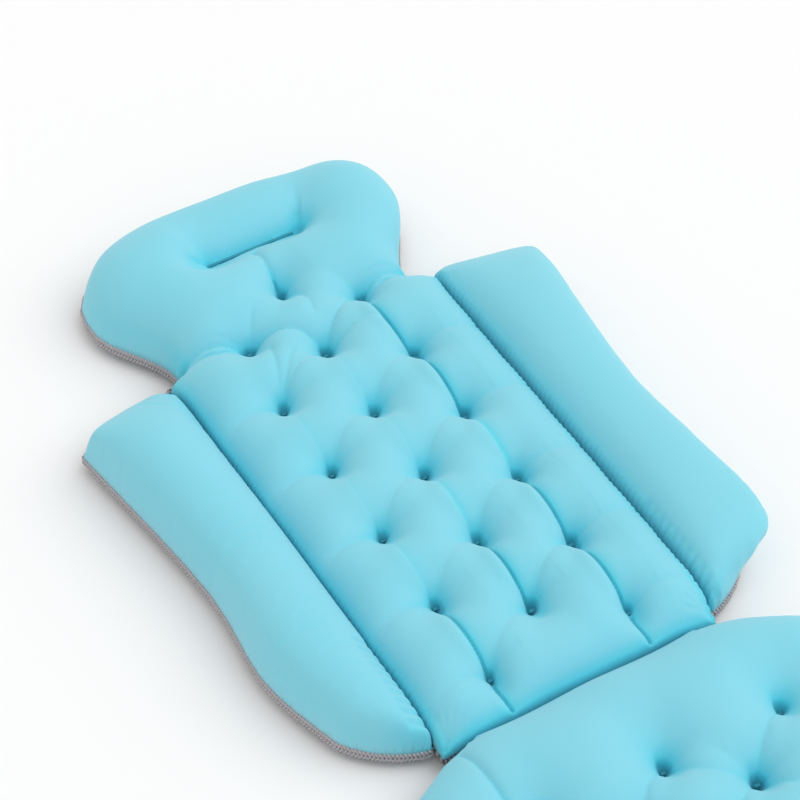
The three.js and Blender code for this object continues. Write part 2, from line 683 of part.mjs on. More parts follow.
const bolsterGrid = cushionGrid({
  sides: bolsterSides,
  columns: gridStops([0, 0.5, 1], [4, 4]),
  rows: gridStops([0, 0.2, 0.8, 1], [4, 8, 4]),
  rise: (p, to) => {
    const sides = slopedEdge(to("left"), BOLSTER_REACH) * roundEdge(to("right"), BOLSTER_REACH);
    const ends = roundEdge(to("bottom"), BOLSTER_END_REACH) * roundEdge(to("top"), BOLSTER_END_REACH);
    return Math.min(BOLSTER_CROWN * sides * ends, neckLimit(p), waistLimit(p), seamLimit(p));
  },
});
addCushion("right_bolster", bolsterGrid);
const leftGroup = new THREE.Group();
pillow.add(leftGroup);
addMesh(leftGroup, "left_bolster_cover", mirrored(coverShell(bolsterGrid)), COVER_FABRIC);
addMesh(leftGroup, "left_bolster_fill", mirrored(filling(bolsterGrid)), FIBRE);
addMesh(leftGroup, "left_bolster_base_mesh", mirrored(meshBase(bolsterGrid)), MESH_FABRIC);

// Seat cushion: flares out from the waist to a round foot, with five columns of staggered tufts
const flareX = SEAT_WIDTH / 2 - FLARE_TAPER;
const seatTop = WAIST_Y - HINGE_GAP;
const flareY = seatTop - FLARE_DROP;
const footRoundY = FOOT_Y + FOOT_ROUND_DEPTH;
const footCornerY = footRoundY - FOOT_ROUND_DEPTH * END_CORNER;

function seatTopEdge(t) {
  const x = flareX * (2 * t - 1);
  const flare = Math.max(Math.abs(x) - WAIST_WIDTH / 2, 0) / (flareX - WAIST_WIDTH / 2);
  return at(x, seatTop - FLARE_DROP * flare);
}

function seatRight(t) {
  const y = footCornerY + (flareY - footCornerY) * t;
  if (y < footRoundY) return at(endCurve((footRoundY - y) / FOOT_ROUND_DEPTH, SEAT_WIDTH / 2), y);
  const rise = (y - footRoundY) / (flareY - footRoundY);
  return at(SEAT_WIDTH / 2 - FLARE_TAPER * Math.pow(rise, 3), y);
}

function seatFoot(t) {
  const share = END_CORNER * (2 * t - 1);
  return at((share * SEAT_WIDTH) / 2, footRoundY - endCurve(share, FOOT_ROUND_DEPTH));
}

const seatSides = { bottom: seatFoot, right: seatRight, top: seatTopEdge, left: mirrorX(seatRight) };
const seatTufts = [];
const seatTuftLevels = [];
for (let row = SEAT_TUFT_ROWS - 1; row >= 0; row -= 1) {
  const y = WAIST_Y - SEAT_TUFT_MARGIN - SEAT_TUFT_PITCH * row;
  const columns = row % 2 === 0 ? [-2, 0, 2] : [-1, 1];
  seatTufts.push(...columns.map((column) => at(column * SEAT_TUFT_X, y)));
  seatTuftLevels.push(y);
}
const seatShareX = (x) => x / SEAT_WIDTH + 0.5;
const seatShareY = (y) => (y - FOOT_Y) / (seatTop - FOOT_Y);
const seatColumnMarks = [-2, -1, 0, 1, 2].map((column) => seatShareX(column * SEAT_TUFT_X));
const SEAT_EDGE_REACH = 70;
const SEAT_WAIST_REACH = 60;

const seatGrid = cushionGrid({
  sides: seatSides,
  columns: gridStops([0, ...seatColumnMarks, 1], [4, 2, 2, 2, 2, 4]),
  rows: gridStops([0, ...seatTuftLevels.map(seatShareY), 1], [4, ...seatTuftLevels.slice(1).map(() => 2), 5]),
  tufts: seatTufts,
  rise: (p, to) => {
    const sides = roundEdge(to("left"), SEAT_EDGE_REACH) * roundEdge(to("right"), SEAT_EDGE_REACH);
    const ends = roundEdge(to("bottom"), SEAT_EDGE_REACH) * slopedEdge(to("top"), SEAT_WAIST_REACH);
    return Math.min(SEAT_CROWN * sides * ends * tuftShare(p, seatTufts), waistLimit(p));
  },
});
const seatCupX = SEAT_WIDTH / 2 - SEAT_CUP_TO_SIDE;
const seatCupLevels = [WAIST_Y - SEAT_CUP_TO_END, FOOT_Y + SEAT_CUP_TO_END];
const seatCups = seatCupLevels.flatMap((y) => [-1, 1].map((side) => at(side * seatCupX, y)));
addCushion("seat", seatGrid, seatCups);

// Fold seams: rolled welts on the four fold axes, level with the underside of the mesh
const WELT_RADIUS = HINGE_GAP - CLEARANCE;
const WELT_SIDES = 10;
const bolsterSeamTop = NECK_Y - 2 * HINGE_GAP;
const bolsterSeamBottom = bolsterBottom;

function welt(length) {
  return new THREE.CylinderGeometry(WELT_RADIUS, WELT_RADIUS, length, WELT_SIDES);
}

for (const [name, y, length] of [["neck_seam", NECK_Y, NECK_WIDTH], ["waist_seam", WAIST_Y, WAIST_WIDTH]]) {
  const seam = addMesh(backGroup, name, welt(length), SEAM_FABRIC);
  seam.rotation.z = Math.PI / 2;
  seam.position.set(0, y, BASE_BOTTOM);
}
for (const [name, side] of [["left_bolster_seam", -1], ["right_bolster_seam", 1]]) {
  const seam = addMesh(backGroup, name, welt(bolsterSeamTop - bolsterSeamBottom), SEAM_FABRIC);
  seam.position.set(side * SEAM_X, (bolsterSeamTop + bolsterSeamBottom) / 2, BASE_BOTTOM);
}

// The origin is on the floor under the middle of the mat's length, hanging loop included
pillow.position.y = -(LOOP_START_Y + LOOP_REACH + FOOT_Y) / 2;

export default pillow;
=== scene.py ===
"""Looks of a full-body bath pillow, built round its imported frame, in metres."""

import math

import bmesh
import bpy
import numpy as np
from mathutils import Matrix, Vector, geometry, noise


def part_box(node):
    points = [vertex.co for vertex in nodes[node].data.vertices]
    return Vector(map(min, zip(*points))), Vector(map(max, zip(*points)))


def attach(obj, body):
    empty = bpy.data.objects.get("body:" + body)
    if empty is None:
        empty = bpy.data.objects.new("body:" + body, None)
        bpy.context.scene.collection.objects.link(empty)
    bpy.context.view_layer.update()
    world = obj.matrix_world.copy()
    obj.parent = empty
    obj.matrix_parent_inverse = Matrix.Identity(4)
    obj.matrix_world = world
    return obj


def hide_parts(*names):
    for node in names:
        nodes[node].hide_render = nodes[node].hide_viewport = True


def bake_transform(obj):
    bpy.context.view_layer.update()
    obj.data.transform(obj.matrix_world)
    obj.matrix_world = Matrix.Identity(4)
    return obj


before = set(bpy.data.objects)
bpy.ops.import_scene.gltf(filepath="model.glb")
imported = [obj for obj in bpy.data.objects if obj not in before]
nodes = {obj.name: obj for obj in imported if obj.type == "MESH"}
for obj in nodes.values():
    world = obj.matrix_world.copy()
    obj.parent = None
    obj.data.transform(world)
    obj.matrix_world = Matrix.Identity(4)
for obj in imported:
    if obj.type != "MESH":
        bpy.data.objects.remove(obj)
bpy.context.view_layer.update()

scene = bpy.context.scene


# View, floor and light
# The pillow lies flat on a white studio floor, seen from above its left hip, under a wide soft
# light that comes from the upper right.
CAMERA_PLACE = Vector((-0.8019, -1.1831, 1.7613))
CAMERA_TARGET = Vector((0.03985, 0.22369, 0.010))
CAMERA_VIEW = math.radians(16.26)
FLOOR_SIZE = 14.0
FLOOR_COLOUR = (0.94, 0.94, 0.94, 1)
DOME_STRENGTH = 0.78
KEY_STRENGTH = 1.09
KEY_SPREAD = math.radians(60)
KEY_FROM = Vector((0.75, -0.32, 1.0))

scene.view_settings.view_transform = "Standard"
bpy.ops.object.select_all(action="DESELECT")
bpy.ops.object.camera_add(location=CAMERA_PLACE)
camera = bpy.context.object
camera.rotation_euler = (CAMERA_TARGET - CAMERA_PLACE).to_track_quat("-Z", "Y").to_euler()
camera.data.angle = CAMERA_VIEW
camera.data.clip_end = 20
scene.camera = camera

bpy.ops.object.light_add(type="SUN")
key_light = bpy.context.object
key_light.rotation_euler = KEY_FROM.to_track_quat("Z", "Y").to_euler()
key_light.data.energy = KEY_STRENGTH
key_light.data.angle = KEY_SPREAD

scene.world = scene.world or bpy.data.worlds.new("studio")
scene.world.use_nodes = True
dome = scene.world.node_tree.nodes["Background"]
dome.inputs["Color"].default_value = (1, 1, 1, 1)

# The dome looks white to the eye and in reflections, and lights the pillow at its own strength.
light_path = scene.world.node_tree.nodes.new("ShaderNodeLightPath")
seen = light_path.outputs["Is Camera Ray"]
for ray in ("Is Glossy Ray", "Is Transmission Ray"):
    either = scene.world.node_tree.nodes.new("ShaderNodeMath")
    either.operation = "MAXIMUM"
    scene.world.node_tree.links.new(seen, either.inputs[0])
    scene.world.node_tree.links.new(light_path.outputs[ray], either.inputs[1])
    seen = either.outputs[0]
strength = scene.world.node_tree.nodes.new("ShaderNodeMapRange")
strength.inputs["To Min"].default_value = DOME_STRENGTH
strength.inputs["To Max"].default_value = 1.0
scene.world.node_tree.links.new(seen, strength.inputs["Value"])
scene.world.node_tree.links.new(strength.outputs[0], dome.inputs["Strength"])

bpy.ops.mesh.primitive_plane_add(size=FLOOR_SIZE)
floor = bpy.context.object
floor.name = "floor"
floor_paint = bpy.data.materials.new("floor_paint")
floor_paint.use_nodes = True
floor_paint.node_tree.nodes["Principled BSDF"].inputs["Base Color"].default_value = FLOOR_COLOUR
floor_paint.node_tree.nodes["Principled BSDF"].inputs["Roughness"].default_value = 0.9
floor.data.materials.append(floor_paint)


# Spacer-mesh bases
# Under each cushion lies a panel of grey spacer mesh, two knitted faces held 6 mm apart by
# upright yarns. The panels meet at the fold seams, and the covers are sewn to their rims.
NECK_Y = 0.33235
WAIST_Y = -0.12165
SEAM_X = 0.128
BASE_SPACING = 0.008
BASE_LOW, BASE_HIGH = 0.010, 0.016
BASE_ROUND = 0.0014
HINGE_REACH = 0.0046


def rim_of(node):
    """Outline of a node's top face, seen from above, as points in order."""
    mesh = nodes[node].data
    top = max(v.co.z for v in mesh.vertices)
    edges = {}
    for face in mesh.polygons:
        if face.normal.z < 0.9 or mesh.vertices[face.vertices[0]].co.z < top - 1e-4:
            continue
        places = [mesh.vertices[index].co for index in face.vertices]
        keys = [(round(place.x, 6), round(place.y, 6)) for place in places]
        for edge in zip(keys, keys[1:] + keys[:1]):
            if edge[::-1] in edges:
                del edges[edge[::-1]]
            else:
                edges[edge] = True
    following = dict(edges.keys())
    loops = []
    while following:
        start, key = following.popitem()
        loop = [start]
        while key != start:
            loop.append(key)
            key = following.pop(key)
        loops.append(np.array(loop))
    return max(loops, key=lambda loop: np.ptp(loop[:, 0]) * np.ptp(loop[:, 1]))


def evenly(points, spacing):
    """The closed outline again, with a point every spacing and at each of its sharp corners."""
    ahead = np.roll(points, -1, 0) - points
    behind = points - np.roll(points, 1, 0)
    cross = behind[:, 0] * ahead[:, 1] - behind[:, 1] * ahead[:, 0]
    turn = np.abs(np.arctan2(cross, (behind * ahead).sum(1)))
    corners = np.flatnonzero(turn > math.radians(35))
    if len(corners) == 0:
        corners = np.array([0])
    count = len(points)
    result = []
    for k, first in enumerate(corners):
        last = corners[(k + 1) % len(corners)]
        steps = (last - first) % count or count
        run = points[(first + np.arange(steps + 1)) % count]
        lengths = np.concatenate([[0], np.cumsum(np.linalg.norm(np.diff(run, axis=0), axis=1))])
        parts = max(1, round(lengths[-1] / spacing))
        stops = np.linspace(0, lengths[-1], parts + 1)[:-1]
        result.append(np.column_stack([np.interp(stops, lengths, run[:, axis]) for axis in (0, 1)]))
    return np.concatenate(result)


def line_distance(points, start, end):
    """Distance of each point from the line between two spots."""
    start, end = np.array(start), np.array(end)
    along = end - start
    share = np.clip((points - start) @ along / max(along @ along, 1e-12), 0, 1)
    return np.linalg.norm(points - start - share[:, None] * along, axis=1)


def edge_distance(points, outline):
    """Distance of each point from a closed outline."""
    nearest = np.full(len(points), 1e9)
    for start, end in zip(outline, np.roll(outline, -1, 0)):
        nearest = np.minimum(nearest, line_distance(points, start, end))
    return nearest


def inside(points, outline):
    """True for each point within a closed outline."""
    within = np.zeros(len(points), bool)
    for start, end in zip(outline, np.roll(outline, -1, 0)):
        crosses = (start[1] > points[:, 1]) != (end[1] > points[:, 1])
        level = (points[:, 1] - start[1]) / ((end[1] - start[1]) or 1e-12)
        within ^= crosses & (points[:, 0] < start[0] + level * (end[0] - start[0]))
    return within


def cut_cloth(outline, marks, spacing):
    """Flat cloth of even triangles inside an outline, with a point on each mark."""
    low, high = outline.min(0), outline.max(0)
    row_step = spacing * math.sqrt(3) / 2
    rows = []
    for k, y in enumerate(np.arange(low[1], high[1], row_step)):
        xs = np.arange(low[0] + (k % 2) * spacing / 2, high[0], spacing)
        rows.append(np.column_stack([xs, np.full(len(xs), y)]))
    points = np.concatenate(rows)
    points = points[inside(points, outline)]
    points = points[edge_distance(points, outline) > 0.6 * spacing]
    for mark in marks:
        points = points[np.linalg.norm(points - mark, axis=1) > 0.6 * spacing]
    flat = np.concatenate([outline, marks, points])
    rim = [list(range(len(outline)))]
    found = geometry.delaunay_2d_cdt([Vector(p) for p in flat], [], rim, 1, 1e-7)
    return np.array([list(p) for p in found[0]]), [list(face) for face in found[2]]


def new_object(name, places, faces):
    """A mesh object with its points where they are given."""
    mesh = bpy.data.meshes.new(name)
    mesh.from_pydata([tuple(place) for place in places], [], faces)
    mesh.update()
    made = bpy.data.objects.new(name, mesh)
    scene.collection.objects.link(made)
    mesh.shade_smooth()
    return made


def pulled_to(outline, axis, line):
    """The outline with its edge near a fold line moved onto that line."""
    moved = outline.copy()
    moved[np.abs(moved[:, axis] - line) < HINGE_REACH, axis] = line
    return moved


def outward_of(outline):
    """Unit vectors pointing out of a closed outline at each of its points."""
    ahead = np.roll(outline, -1, 0) - np.roll(outline, 1, 0)
    outward = np.column_stack([ahead[:, 1], -ahead[:, 0]])
    return outward / np.linalg.norm(outward, axis=1)[:, None]


def bend(piece, body):
    """Makes a piece follow its body, except a piece of the head, the seat or a bolster, which only
    has its place baked into its mesh.
    """
    if body == "head":
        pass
    elif body == "seat":
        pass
    elif body == "left_bolster":
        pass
    elif body == "right_bolster":
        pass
    else:
        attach(piece, body)
        return
    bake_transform(piece)


def base_panel(body, panel):
    """One panel: two even faces and a rounded rim between them."""
    outline = evenly(panel, BASE_SPACING)
    count = len(outline)
    inner = outline - BASE_ROUND * outward_of(outline)
    flat, faces = cut_cloth(inner, np.zeros((0, 2)), BASE_SPACING)
    top = np.column_stack([flat, np.full(len(flat), BASE_HIGH)])
    bottom = np.column_stack([flat, np.full(len(flat), BASE_LOW)])
    high = np.column_stack([outline, np.full(count, BASE_HIGH - BASE_ROUND)])
    low = np.column_stack([outline, np.full(count, BASE_LOW + BASE_ROUND)])
    size = len(flat)
    rings = [0, 2 * size, 2 * size + count, size]
    sides = []
    for upper, lower in zip(rings, rings[1:]):
        for k in range(count):
            following = (k + 1) % count
            sides.append([upper + k, lower + k, lower + following, upper + following])
    under = [[size + index for index in reversed(face)] for face in faces]
    places = np.concatenate([top, bottom, high, low])
    return new_object(body + "_base", places, faces + under + sides)


back_panel = rim_of("back_base_mesh")
for line in (-SEAM_X, SEAM_X):
    back_panel = pulled_to(back_panel, 0, line)
for line in (NECK_Y, WAIST_Y):
    back_panel = pulled_to(back_panel, 1, line)
panels = {
    "head": pulled_to(rim_of("head_base_mesh"), 1, NECK_Y),
    "back": back_panel,
    "seat": pulled_to(rim_of("seat_base_mesh"), 1, WAIST_Y),
    "left_bolster": pulled_to(rim_of("left_bolster_base_mesh"), 0, -SEAM_X),
    "right_bolster": pulled_to(rim_of("right_bolster_base_mesh"), 0, SEAM_X),
}

NET_PITCH = 0.0034
# The openings of the net are painted near black, as painted shade inside its holes.
NET_HOLE_SHADE = (0.075, 0.070, 0.075, 1)
NET_DARK = (0.27, 0.243, 0.257, 1)
NET_PALE = (0.36, 0.327, 0.343, 1)


def new_material(name):
    """A new material, its node tree and its shader."""
    material = bpy.data.materials.new(name)
    material.use_nodes = True
    tree = material.node_tree
    return material, tree, tree.nodes["Principled BSDF"]


def add_node(tree, kind, values=(), **settings):
    """Adds a node: settings are its own properties, values its inputs, linked or plain."""
    made = tree.nodes.new(kind)
    for key, value in settings.items():
        setattr(made, key, value)
    for key, value in values:
        if isinstance(value, bpy.types.NodeSocket):
            tree.links.new(value, made.inputs[key])
        else:
            made.inputs[key].default_value = value
    return made


def mixed(tree, factor, low, high):
    """A colour that goes from one tone to another with a factor."""
    mix = add_node(tree, "ShaderNodeMix", [(0, factor), (6, low), (7, high)], data_type="RGBA")
    return mix.outputs[2]


def finish_surface(tree, shader, colour, height, strength, distance):
    """Gives a shader its colour, and fine relief from a pattern."""
    tree.links.new(colour, shader.inputs["Base Color"])
    bump = add_node(tree, "ShaderNodeBump", [
        ("Strength", strength), ("Distance", distance), ("Height", height)])
    tree.links.new(bump.outputs[0], shader.inputs["Normal"])


def new_group(name, inputs, outputs):
    """An empty shader node group with named inputs and outputs, given as (name, kind)."""
    tree = bpy.data.node_groups.new(name, "ShaderNodeTree")
    for label, kind in inputs:
        tree.interface.new_socket(label, in_out="INPUT", socket_type="NodeSocket" + kind)
    for label, kind in outputs:
        tree.interface.new_socket(label, in_out="OUTPUT", socket_type="NodeSocket" + kind)
    return tree, tree.nodes.new("NodeGroupInput").outputs, tree.nodes.new("NodeGroupOutput").inputs


HALF_STEP = (0.5, math.sqrt(3) / 2, 1)
net_tree, net_in, net_out = new_group(
    "hexagon_net", [("Place", "Vector"), ("Pitch", "Float")], [("Yarn", "Float")])
net_flat = add_node(net_tree, "ShaderNodeVectorMath", [(0, net_in["Place"]), (1, (1, 1, 0))],
                    operation="MULTIPLY")
net_scale = add_node(net_tree, "ShaderNodeMath", [(0, 1.0), (1, net_in["Pitch"])],
                     operation="DIVIDE")
net_place = add_node(net_tree, "ShaderNodeVectorMath", [(0, net_flat.outputs[0])],
                     operation="SCALE")
net_tree.links.new(net_scale.outputs[0], net_place.inputs["Scale"])
net_gaps = []
for shift in ((0, 0, 0), HALF_STEP):
    moved = add_node(net_tree, "ShaderNodeVectorMath", [(0, net_place.outputs[0]), (1, shift)],
                     operation="ADD")
    wrapped = add_node(net_tree, "ShaderNodeVectorMath", [
        (0, moved.outputs[0]), (1, HALF_STEP), (2, tuple(-part for part in HALF_STEP)),
    ], operation="WRAP")
    level = add_node(net_tree, "ShaderNodeVectorMath", [(0, wrapped.outputs[0]), (1, (1, 1, 0))],
                     operation="MULTIPLY")
    net_gaps.append(add_node(net_tree, "ShaderNodeVectorMath", [(0, level.outputs[0])],
                             operation="LENGTH").outputs["Value"])
net_nearest = add_node(net_tree, "ShaderNodeMath", [(0, net_gaps[0]), (1, net_gaps[1])],
                       operation="MINIMUM")
net_yarn = add_node(net_tree, "ShaderNodeMapRange", [
    ("Value", net_nearest.outputs[0]), ("From Min", 0.26), ("From Max", 0.38),
], interpolation_type="SMOOTHSTEP")
net_tree.links.new(net_yarn.outputs[0], net_out["Yarn"])

mesh_fabric, tree, shader = new_material("spacer_mesh_knit")
place = add_node(tree, "ShaderNodeTexCoord").outputs["Object"]
net = add_node(tree, "ShaderNodeGroup", node_tree=net_tree)
tree.links.new(place, net.inputs["Place"])
net.inputs["Pitch"].default_value = NET_PITCH
wear = add_node(tree, "ShaderNodeTexNoise", [("Vector", place), ("Scale", 60.0), ("Detail", 3.0)])
yarn_tone = mixed(tree, wear.outputs["Fac"], NET_DARK, NET_PALE)
net_colour = mixed(tree, net.outputs["Yarn"], NET_HOLE_SHADE, yarn_tone)
finish_surface(tree, shader, net_colour, net.outputs["Yarn"], strength=0.8, distance=0.0008)
shader.inputs["Roughness"].default_value = 0.85
shader.inputs["Sheen Weight"].default_value = 0.15

for body, panel in panels.items():
    base = base_panel(body, panel)
    base.data.materials.append(mesh_fabric)
    bend(base, body)
    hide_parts(body + "_base_mesh")


# Ribbed edges
# The free edges of the mesh are oversewn with thick grey yarn in two slanting rows, which read
# as a herringbone rib where the cushion's underside shows. One stitch is modelled and repeated.
RIB_STEP = 0.0032
RIB_RADIUS = 0.0012
RIB_LENGTH = 0.0054
RIB_SLANT = math.radians(42)
RIB_ROWS = ((0.0100, 1), (0.0146, -1))
RIB_BEVEL = 0.62
RIB_DARK = (0.34, 0.315, 0.330, 1)
RIB_PALE = (0.56, 0.525, 0.545, 1)
ON_FOLD = 0.002


def one_stitch(radius, length):
    """A short length of yarn with rounded ends along z, as its points and faces."""
    bpy.ops.object.select_all(action="DESELECT")
    bpy.ops.mesh.primitive_cylinder_add(vertices=6, radius=radius, depth=length)
    stitch = bpy.context.object
    bpy.ops.object.mode_set(mode="EDIT")
    bpy.ops.mesh.select_mode(type="EDGE")
    bpy.ops.mesh.select_all(action="DESELECT")
    bpy.ops.object.mode_set(mode="OBJECT")
    for edge in stitch.data.edges:
        ends = [stitch.data.vertices[index].co.z for index in edge.vertices]
        edge.select = abs(ends[0] - ends[1]) < 1e-6
    bpy.ops.object.mode_set(mode="EDIT")
    bpy.ops.mesh.bevel(offset=radius * RIB_BEVEL, segments=2, affect="EDGES")
    bpy.ops.object.mode_set(mode="OBJECT")
    places = np.array([list(v.co) for v in stitch.data.vertices])
    faces = [list(face.vertices) for face in stitch.data.polygons]
    bpy.data.objects.remove(stitch)
    return places, faces


def stitches(name, shape, stands):
    """Copies of one stitch in one piece, each standing at (centre, out, across, along)."""
    places, faces = [], []
    for k, (centre, out, across, along) in enumerate(stands):
        places.append(np.array(centre) + shape[0] @ np.array([out, across, along]))
        faces += [[k * len(shape[0]) + corner for corner in face] for face in shape[1]]
    return new_object(name, np.concatenate(places), faces)


edge_yarn, tree, shader = new_material("edge_yarn")
place = add_node(tree, "ShaderNodeTexCoord").outputs["Object"]
fleck = add_node(tree, "ShaderNodeTexNoise", [("Vector", place), ("Scale", 900.0), ("Detail", 2.0)])
yarn_colour = mixed(tree, fleck.outputs["Fac"], RIB_DARK, RIB_PALE)
finish_surface(tree, shader, yarn_colour, fleck.outputs["Fac"], strength=0.5, distance=0.0003)
shader.inputs["Roughness"].default_value = 0.8
shader.inputs["Sheen Weight"].default_value = 0.2


def on_fold(body, points):
    """True for each point that lies on the fold line by which its panel is joined."""
    if body == "head":
        return np.abs(points[:, 1] - NECK_Y) < ON_FOLD
    if body == "seat":
        waist_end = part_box("waist_seam")[1].x
        return (np.abs(points[:, 1] - WAIST_Y) < ON_FOLD) & (np.abs(points[:, 0]) < waist_end)
    return np.abs(np.abs(points[:, 0]) - SEAM_X) < ON_FOLD


rib_shape = one_stitch(RIB_RADIUS, RIB_LENGTH)


def ribbed_edge(body, panel):
    """Stitches side by side along a panel's free edge, all in one piece."""
    path = evenly(panel, RIB_STEP)
    outward = outward_of(path)
    stands = []
    for level, lean in RIB_ROWS:
        for index in np.flatnonzero(~on_fold(body, path)):
            out = np.array([*outward[index], 0])
            aside = np.array([-out[1], out[0], 0])
            along = math.cos(RIB_SLANT) * np.array([0, 0, 1]) + lean * math.sin(RIB_SLANT) * aside
            stands.append(((*path[index], level), out, np.cross(along, out), along))
    return stitches(body + "_ribbed_edge", rib_shape, stands)


for body in ("head", "seat", "left_bolster", "right_bolster"):
    ribs = ribbed_edge(body, panels[body])
    ribs.data.materials.append(edge_yarn)
    bend(ribs, body)


# Suction cups
# Ten clear vinyl cups, out of sight below, are taken to hold the pillow to the bath. Each is one
# moulding with a stem through the mesh and a button above it, in the shape the frame gives it.
CUP_DARK = (0.72, 0.83, 0.86, 1)
CUP_PALE = (0.86, 0.93, 0.95, 1)
cup_vinyl, tree, shader = new_material("clear_vinyl")
place = add_node(tree, "ShaderNodeTexCoord").outputs["Object"]
haze = add_node(tree, "ShaderNodeTexNoise", [("Vector", place), ("Scale", 180.0), ("Detail", 3.0)])
cup_rough = add_node(tree, "ShaderNodeMapRange", [
    ("Value", haze.outputs["Fac"]), ("To Min", 0.12), ("To Max", 0.34)])
tree.links.new(cup_rough.outputs[0], shader.inputs["Roughness"])
cup_tint = mixed(tree, haze.outputs["Fac"], CUP_DARK, CUP_PALE)
tree.links.new(cup_tint, shader.inputs["Base Color"])
shader.inputs["IOR"].default_value = 1.52
shader.inputs["Transmission Weight"].default_value = 0.72
for name in sorted(nodes):
    if "_cup_" in name:
        nodes[name].material_slots[0].material = cup_vinyl


# Bound seams
# Where two panels meet, their edges are rolled into a grey tape and stitched through, and the
# pillow folds about these rolls. The stitches draw the tape in at even steps.
SEAM_ROUND = 0.0037
SEAM_STITCH = 0.0064
SEAM_SIDES = 16
SEAM_STEP = 0.0016
SEAM_NECK, SEAM_SWELL = 0.86, 0.14
TAPE_DARK = (0.26, 0.238, 0.250, 1)
TAPE_PALE = (0.40, 0.370, 0.385, 1)


def bound_seam(node):
    """A round of tape from end to end of a seam, drawn in at its stitches."""
    low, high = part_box(node)
    lengthwise = 0 if high.x - low.x > high.y - low.y else 1
    first, last = low[lengthwise], high[lengthwise]
    middle = [(a + b) / 2 for a, b in zip(low, high)]
    steps = round((last - first) / SEAM_STEP)
    places, faces = [], []
    for k in range(steps + 1):
        along = first + (last - first) * k / steps
        swell = abs(math.sin(math.pi * (along - first) / SEAM_STITCH)) ** 0.6
        drawn = SEAM_NECK + SEAM_SWELL * swell
        end = min(along - first, last - along)
        rounding = math.sqrt(max(0.05, 1 - (1 - min(1, end / SEAM_ROUND)) ** 2))
        for side in range(SEAM_SIDES):
            turn = 2 * math.pi * side / SEAM_SIDES
            spot = list(middle)
            spot[lengthwise] = along
            spot[1 - lengthwise] += SEAM_ROUND * drawn * rounding * math.cos(turn)
            spot[2] += SEAM_ROUND * drawn * rounding * math.sin(turn)
            places.append(spot)
    for k in range(steps):
        for side in range(SEAM_SIDES):
            beside = (side + 1) % SEAM_SIDES
            ring, after = k * SEAM_SIDES, (k + 1) * SEAM_SIDES
            faces.append([ring + side, ring + beside, after + beside, after + side])
    faces.append(list(reversed(range(SEAM_SIDES))))
    faces.append([steps * SEAM_SIDES + side for side in range(SEAM_SIDES)])
    if lengthwise == 1:
        faces = [face[::-1] for face in faces]
    return new_object(node + "_tape", places, faces)


seam_tape, tree, shader = new_material("seam_tape")
place = add_node(tree, "ShaderNodeTexCoord").outputs["Object"]
tape_weave = add_node(tree, "ShaderNodeTexWave", [
    ("Vector", place), ("Scale", 420.0), ("Distortion", 1.5), ("Detail", 1.0),
], bands_direction="DIAGONAL")
tape_colour = mixed(tree, tape_weave.outputs["Fac"], TAPE_DARK, TAPE_PALE)
finish_surface(tree, shader, tape_colour, tape_weave.outputs["Fac"], strength=0.5, distance=0.0004)
shader.inputs["Roughness"].default_value = 0.85
for node in ("neck_seam", "waist_seam", "left_bolster_seam", "right_bolster_seam"):
    tape = bound_seam(node)
    tape.data.materials.append(seam_tape)
    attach(tape, "back")
    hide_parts(node)


# Hanging loop
# A sliver of pale ribbon shows at the head's top edge. It is taken for a loop, folded once and
# caught in the seam, by which the pillow hangs to dry.
LOOP_WIDTH = 0.012
LOOP_THICK = 0.0006
LOOP_ROUND = 0.0034
LOOP_SEWN_IN = 0.0012
LOOP_STRANDS = 8
LOOP_DARK = (0.66, 0.61, 0.60, 1)
LOOP_PALE = (0.84, 0.80, 0.79, 1)
loop_low, loop_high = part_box("hanging_loop")
loop_middle = (loop_low.z + loop_high.z) / 2
loop_start = loop_low.y - LOOP_SEWN_IN
loop_turn = loop_high.y - LOOP_ROUND - LOOP_THICK
loop_path = [(y, loop_middle + LOOP_ROUND) for y in np.linspace(loop_start, loop_turn, 8)]
for turn in np.linspace(0, math.pi, 11)[1:-1]:
    y = loop_turn + LOOP_ROUND * math.sin(turn)
    loop_path.append((y, loop_middle + LOOP_ROUND * math.cos(turn)))
loop_path += [(y, loop_middle - LOOP_ROUND) for y in np.linspace(loop_turn, loop_start, 8)]
loop_places, loop_faces, loop_cut = [], [], []
run = 0.0
for k, (y, z) in enumerate(loop_path):
    run += math.dist(loop_path[k - 1], (y, z)) if k else 0.0
    for strand in range(LOOP_STRANDS + 1):
        x = LOOP_WIDTH * (strand / LOOP_STRANDS - 0.5)
        loop_places.append((x, y, z))
        loop_cut.append((x, run))
for k in range(len(loop_path) - 1):
    for strand in range(LOOP_STRANDS):
        here = k * (LOOP_STRANDS + 1) + strand
        after = here + LOOP_STRANDS + 1
        loop_faces.append([here, after, after + 1, here + 1])
ribbon = new_object("hanging_loop_ribbon", loop_places, loop_faces)
corners = [ribbon.data.loops[k].vertex_index for k in range(len(ribbon.data.loops))]
ribbon_map = ribbon.data.uv_layers.new(name="weave")
ribbon_map.uv.foreach_set("vector", np.array(loop_cut)[corners].ravel())
bpy.context.view_layer.objects.active = ribbon
thick = ribbon.modifiers.new("thick", "SOLIDIFY")
thick.thickness = LOOP_THICK
thick.offset = 0
bpy.ops.object.modifier_apply(modifier="thick")

ribbon_weave, tree, shader = new_material("pale_ribbon")
weave = add_node(tree, "ShaderNodeUVMap", uv_map="weave").outputs[0]
cords = add_node(tree, "ShaderNodeTexWave", [
    ("Vector", weave), ("Scale", 260.0), ("Distortion", 0.4)], bands_direction="Y")
ribbon_colour = mixed(tree, cords.outputs["Fac"], LOOP_DARK, LOOP_PALE)
finish_surface(tree, shader, ribbon_colour, cords.outputs["Fac"], strength=0.6, distance=0.0003)
shader.inputs["Roughness"].default_value = 0.6
ribbon.data.materials.append(ribbon_weave)
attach(ribbon, "head")
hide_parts("hanging_loop")


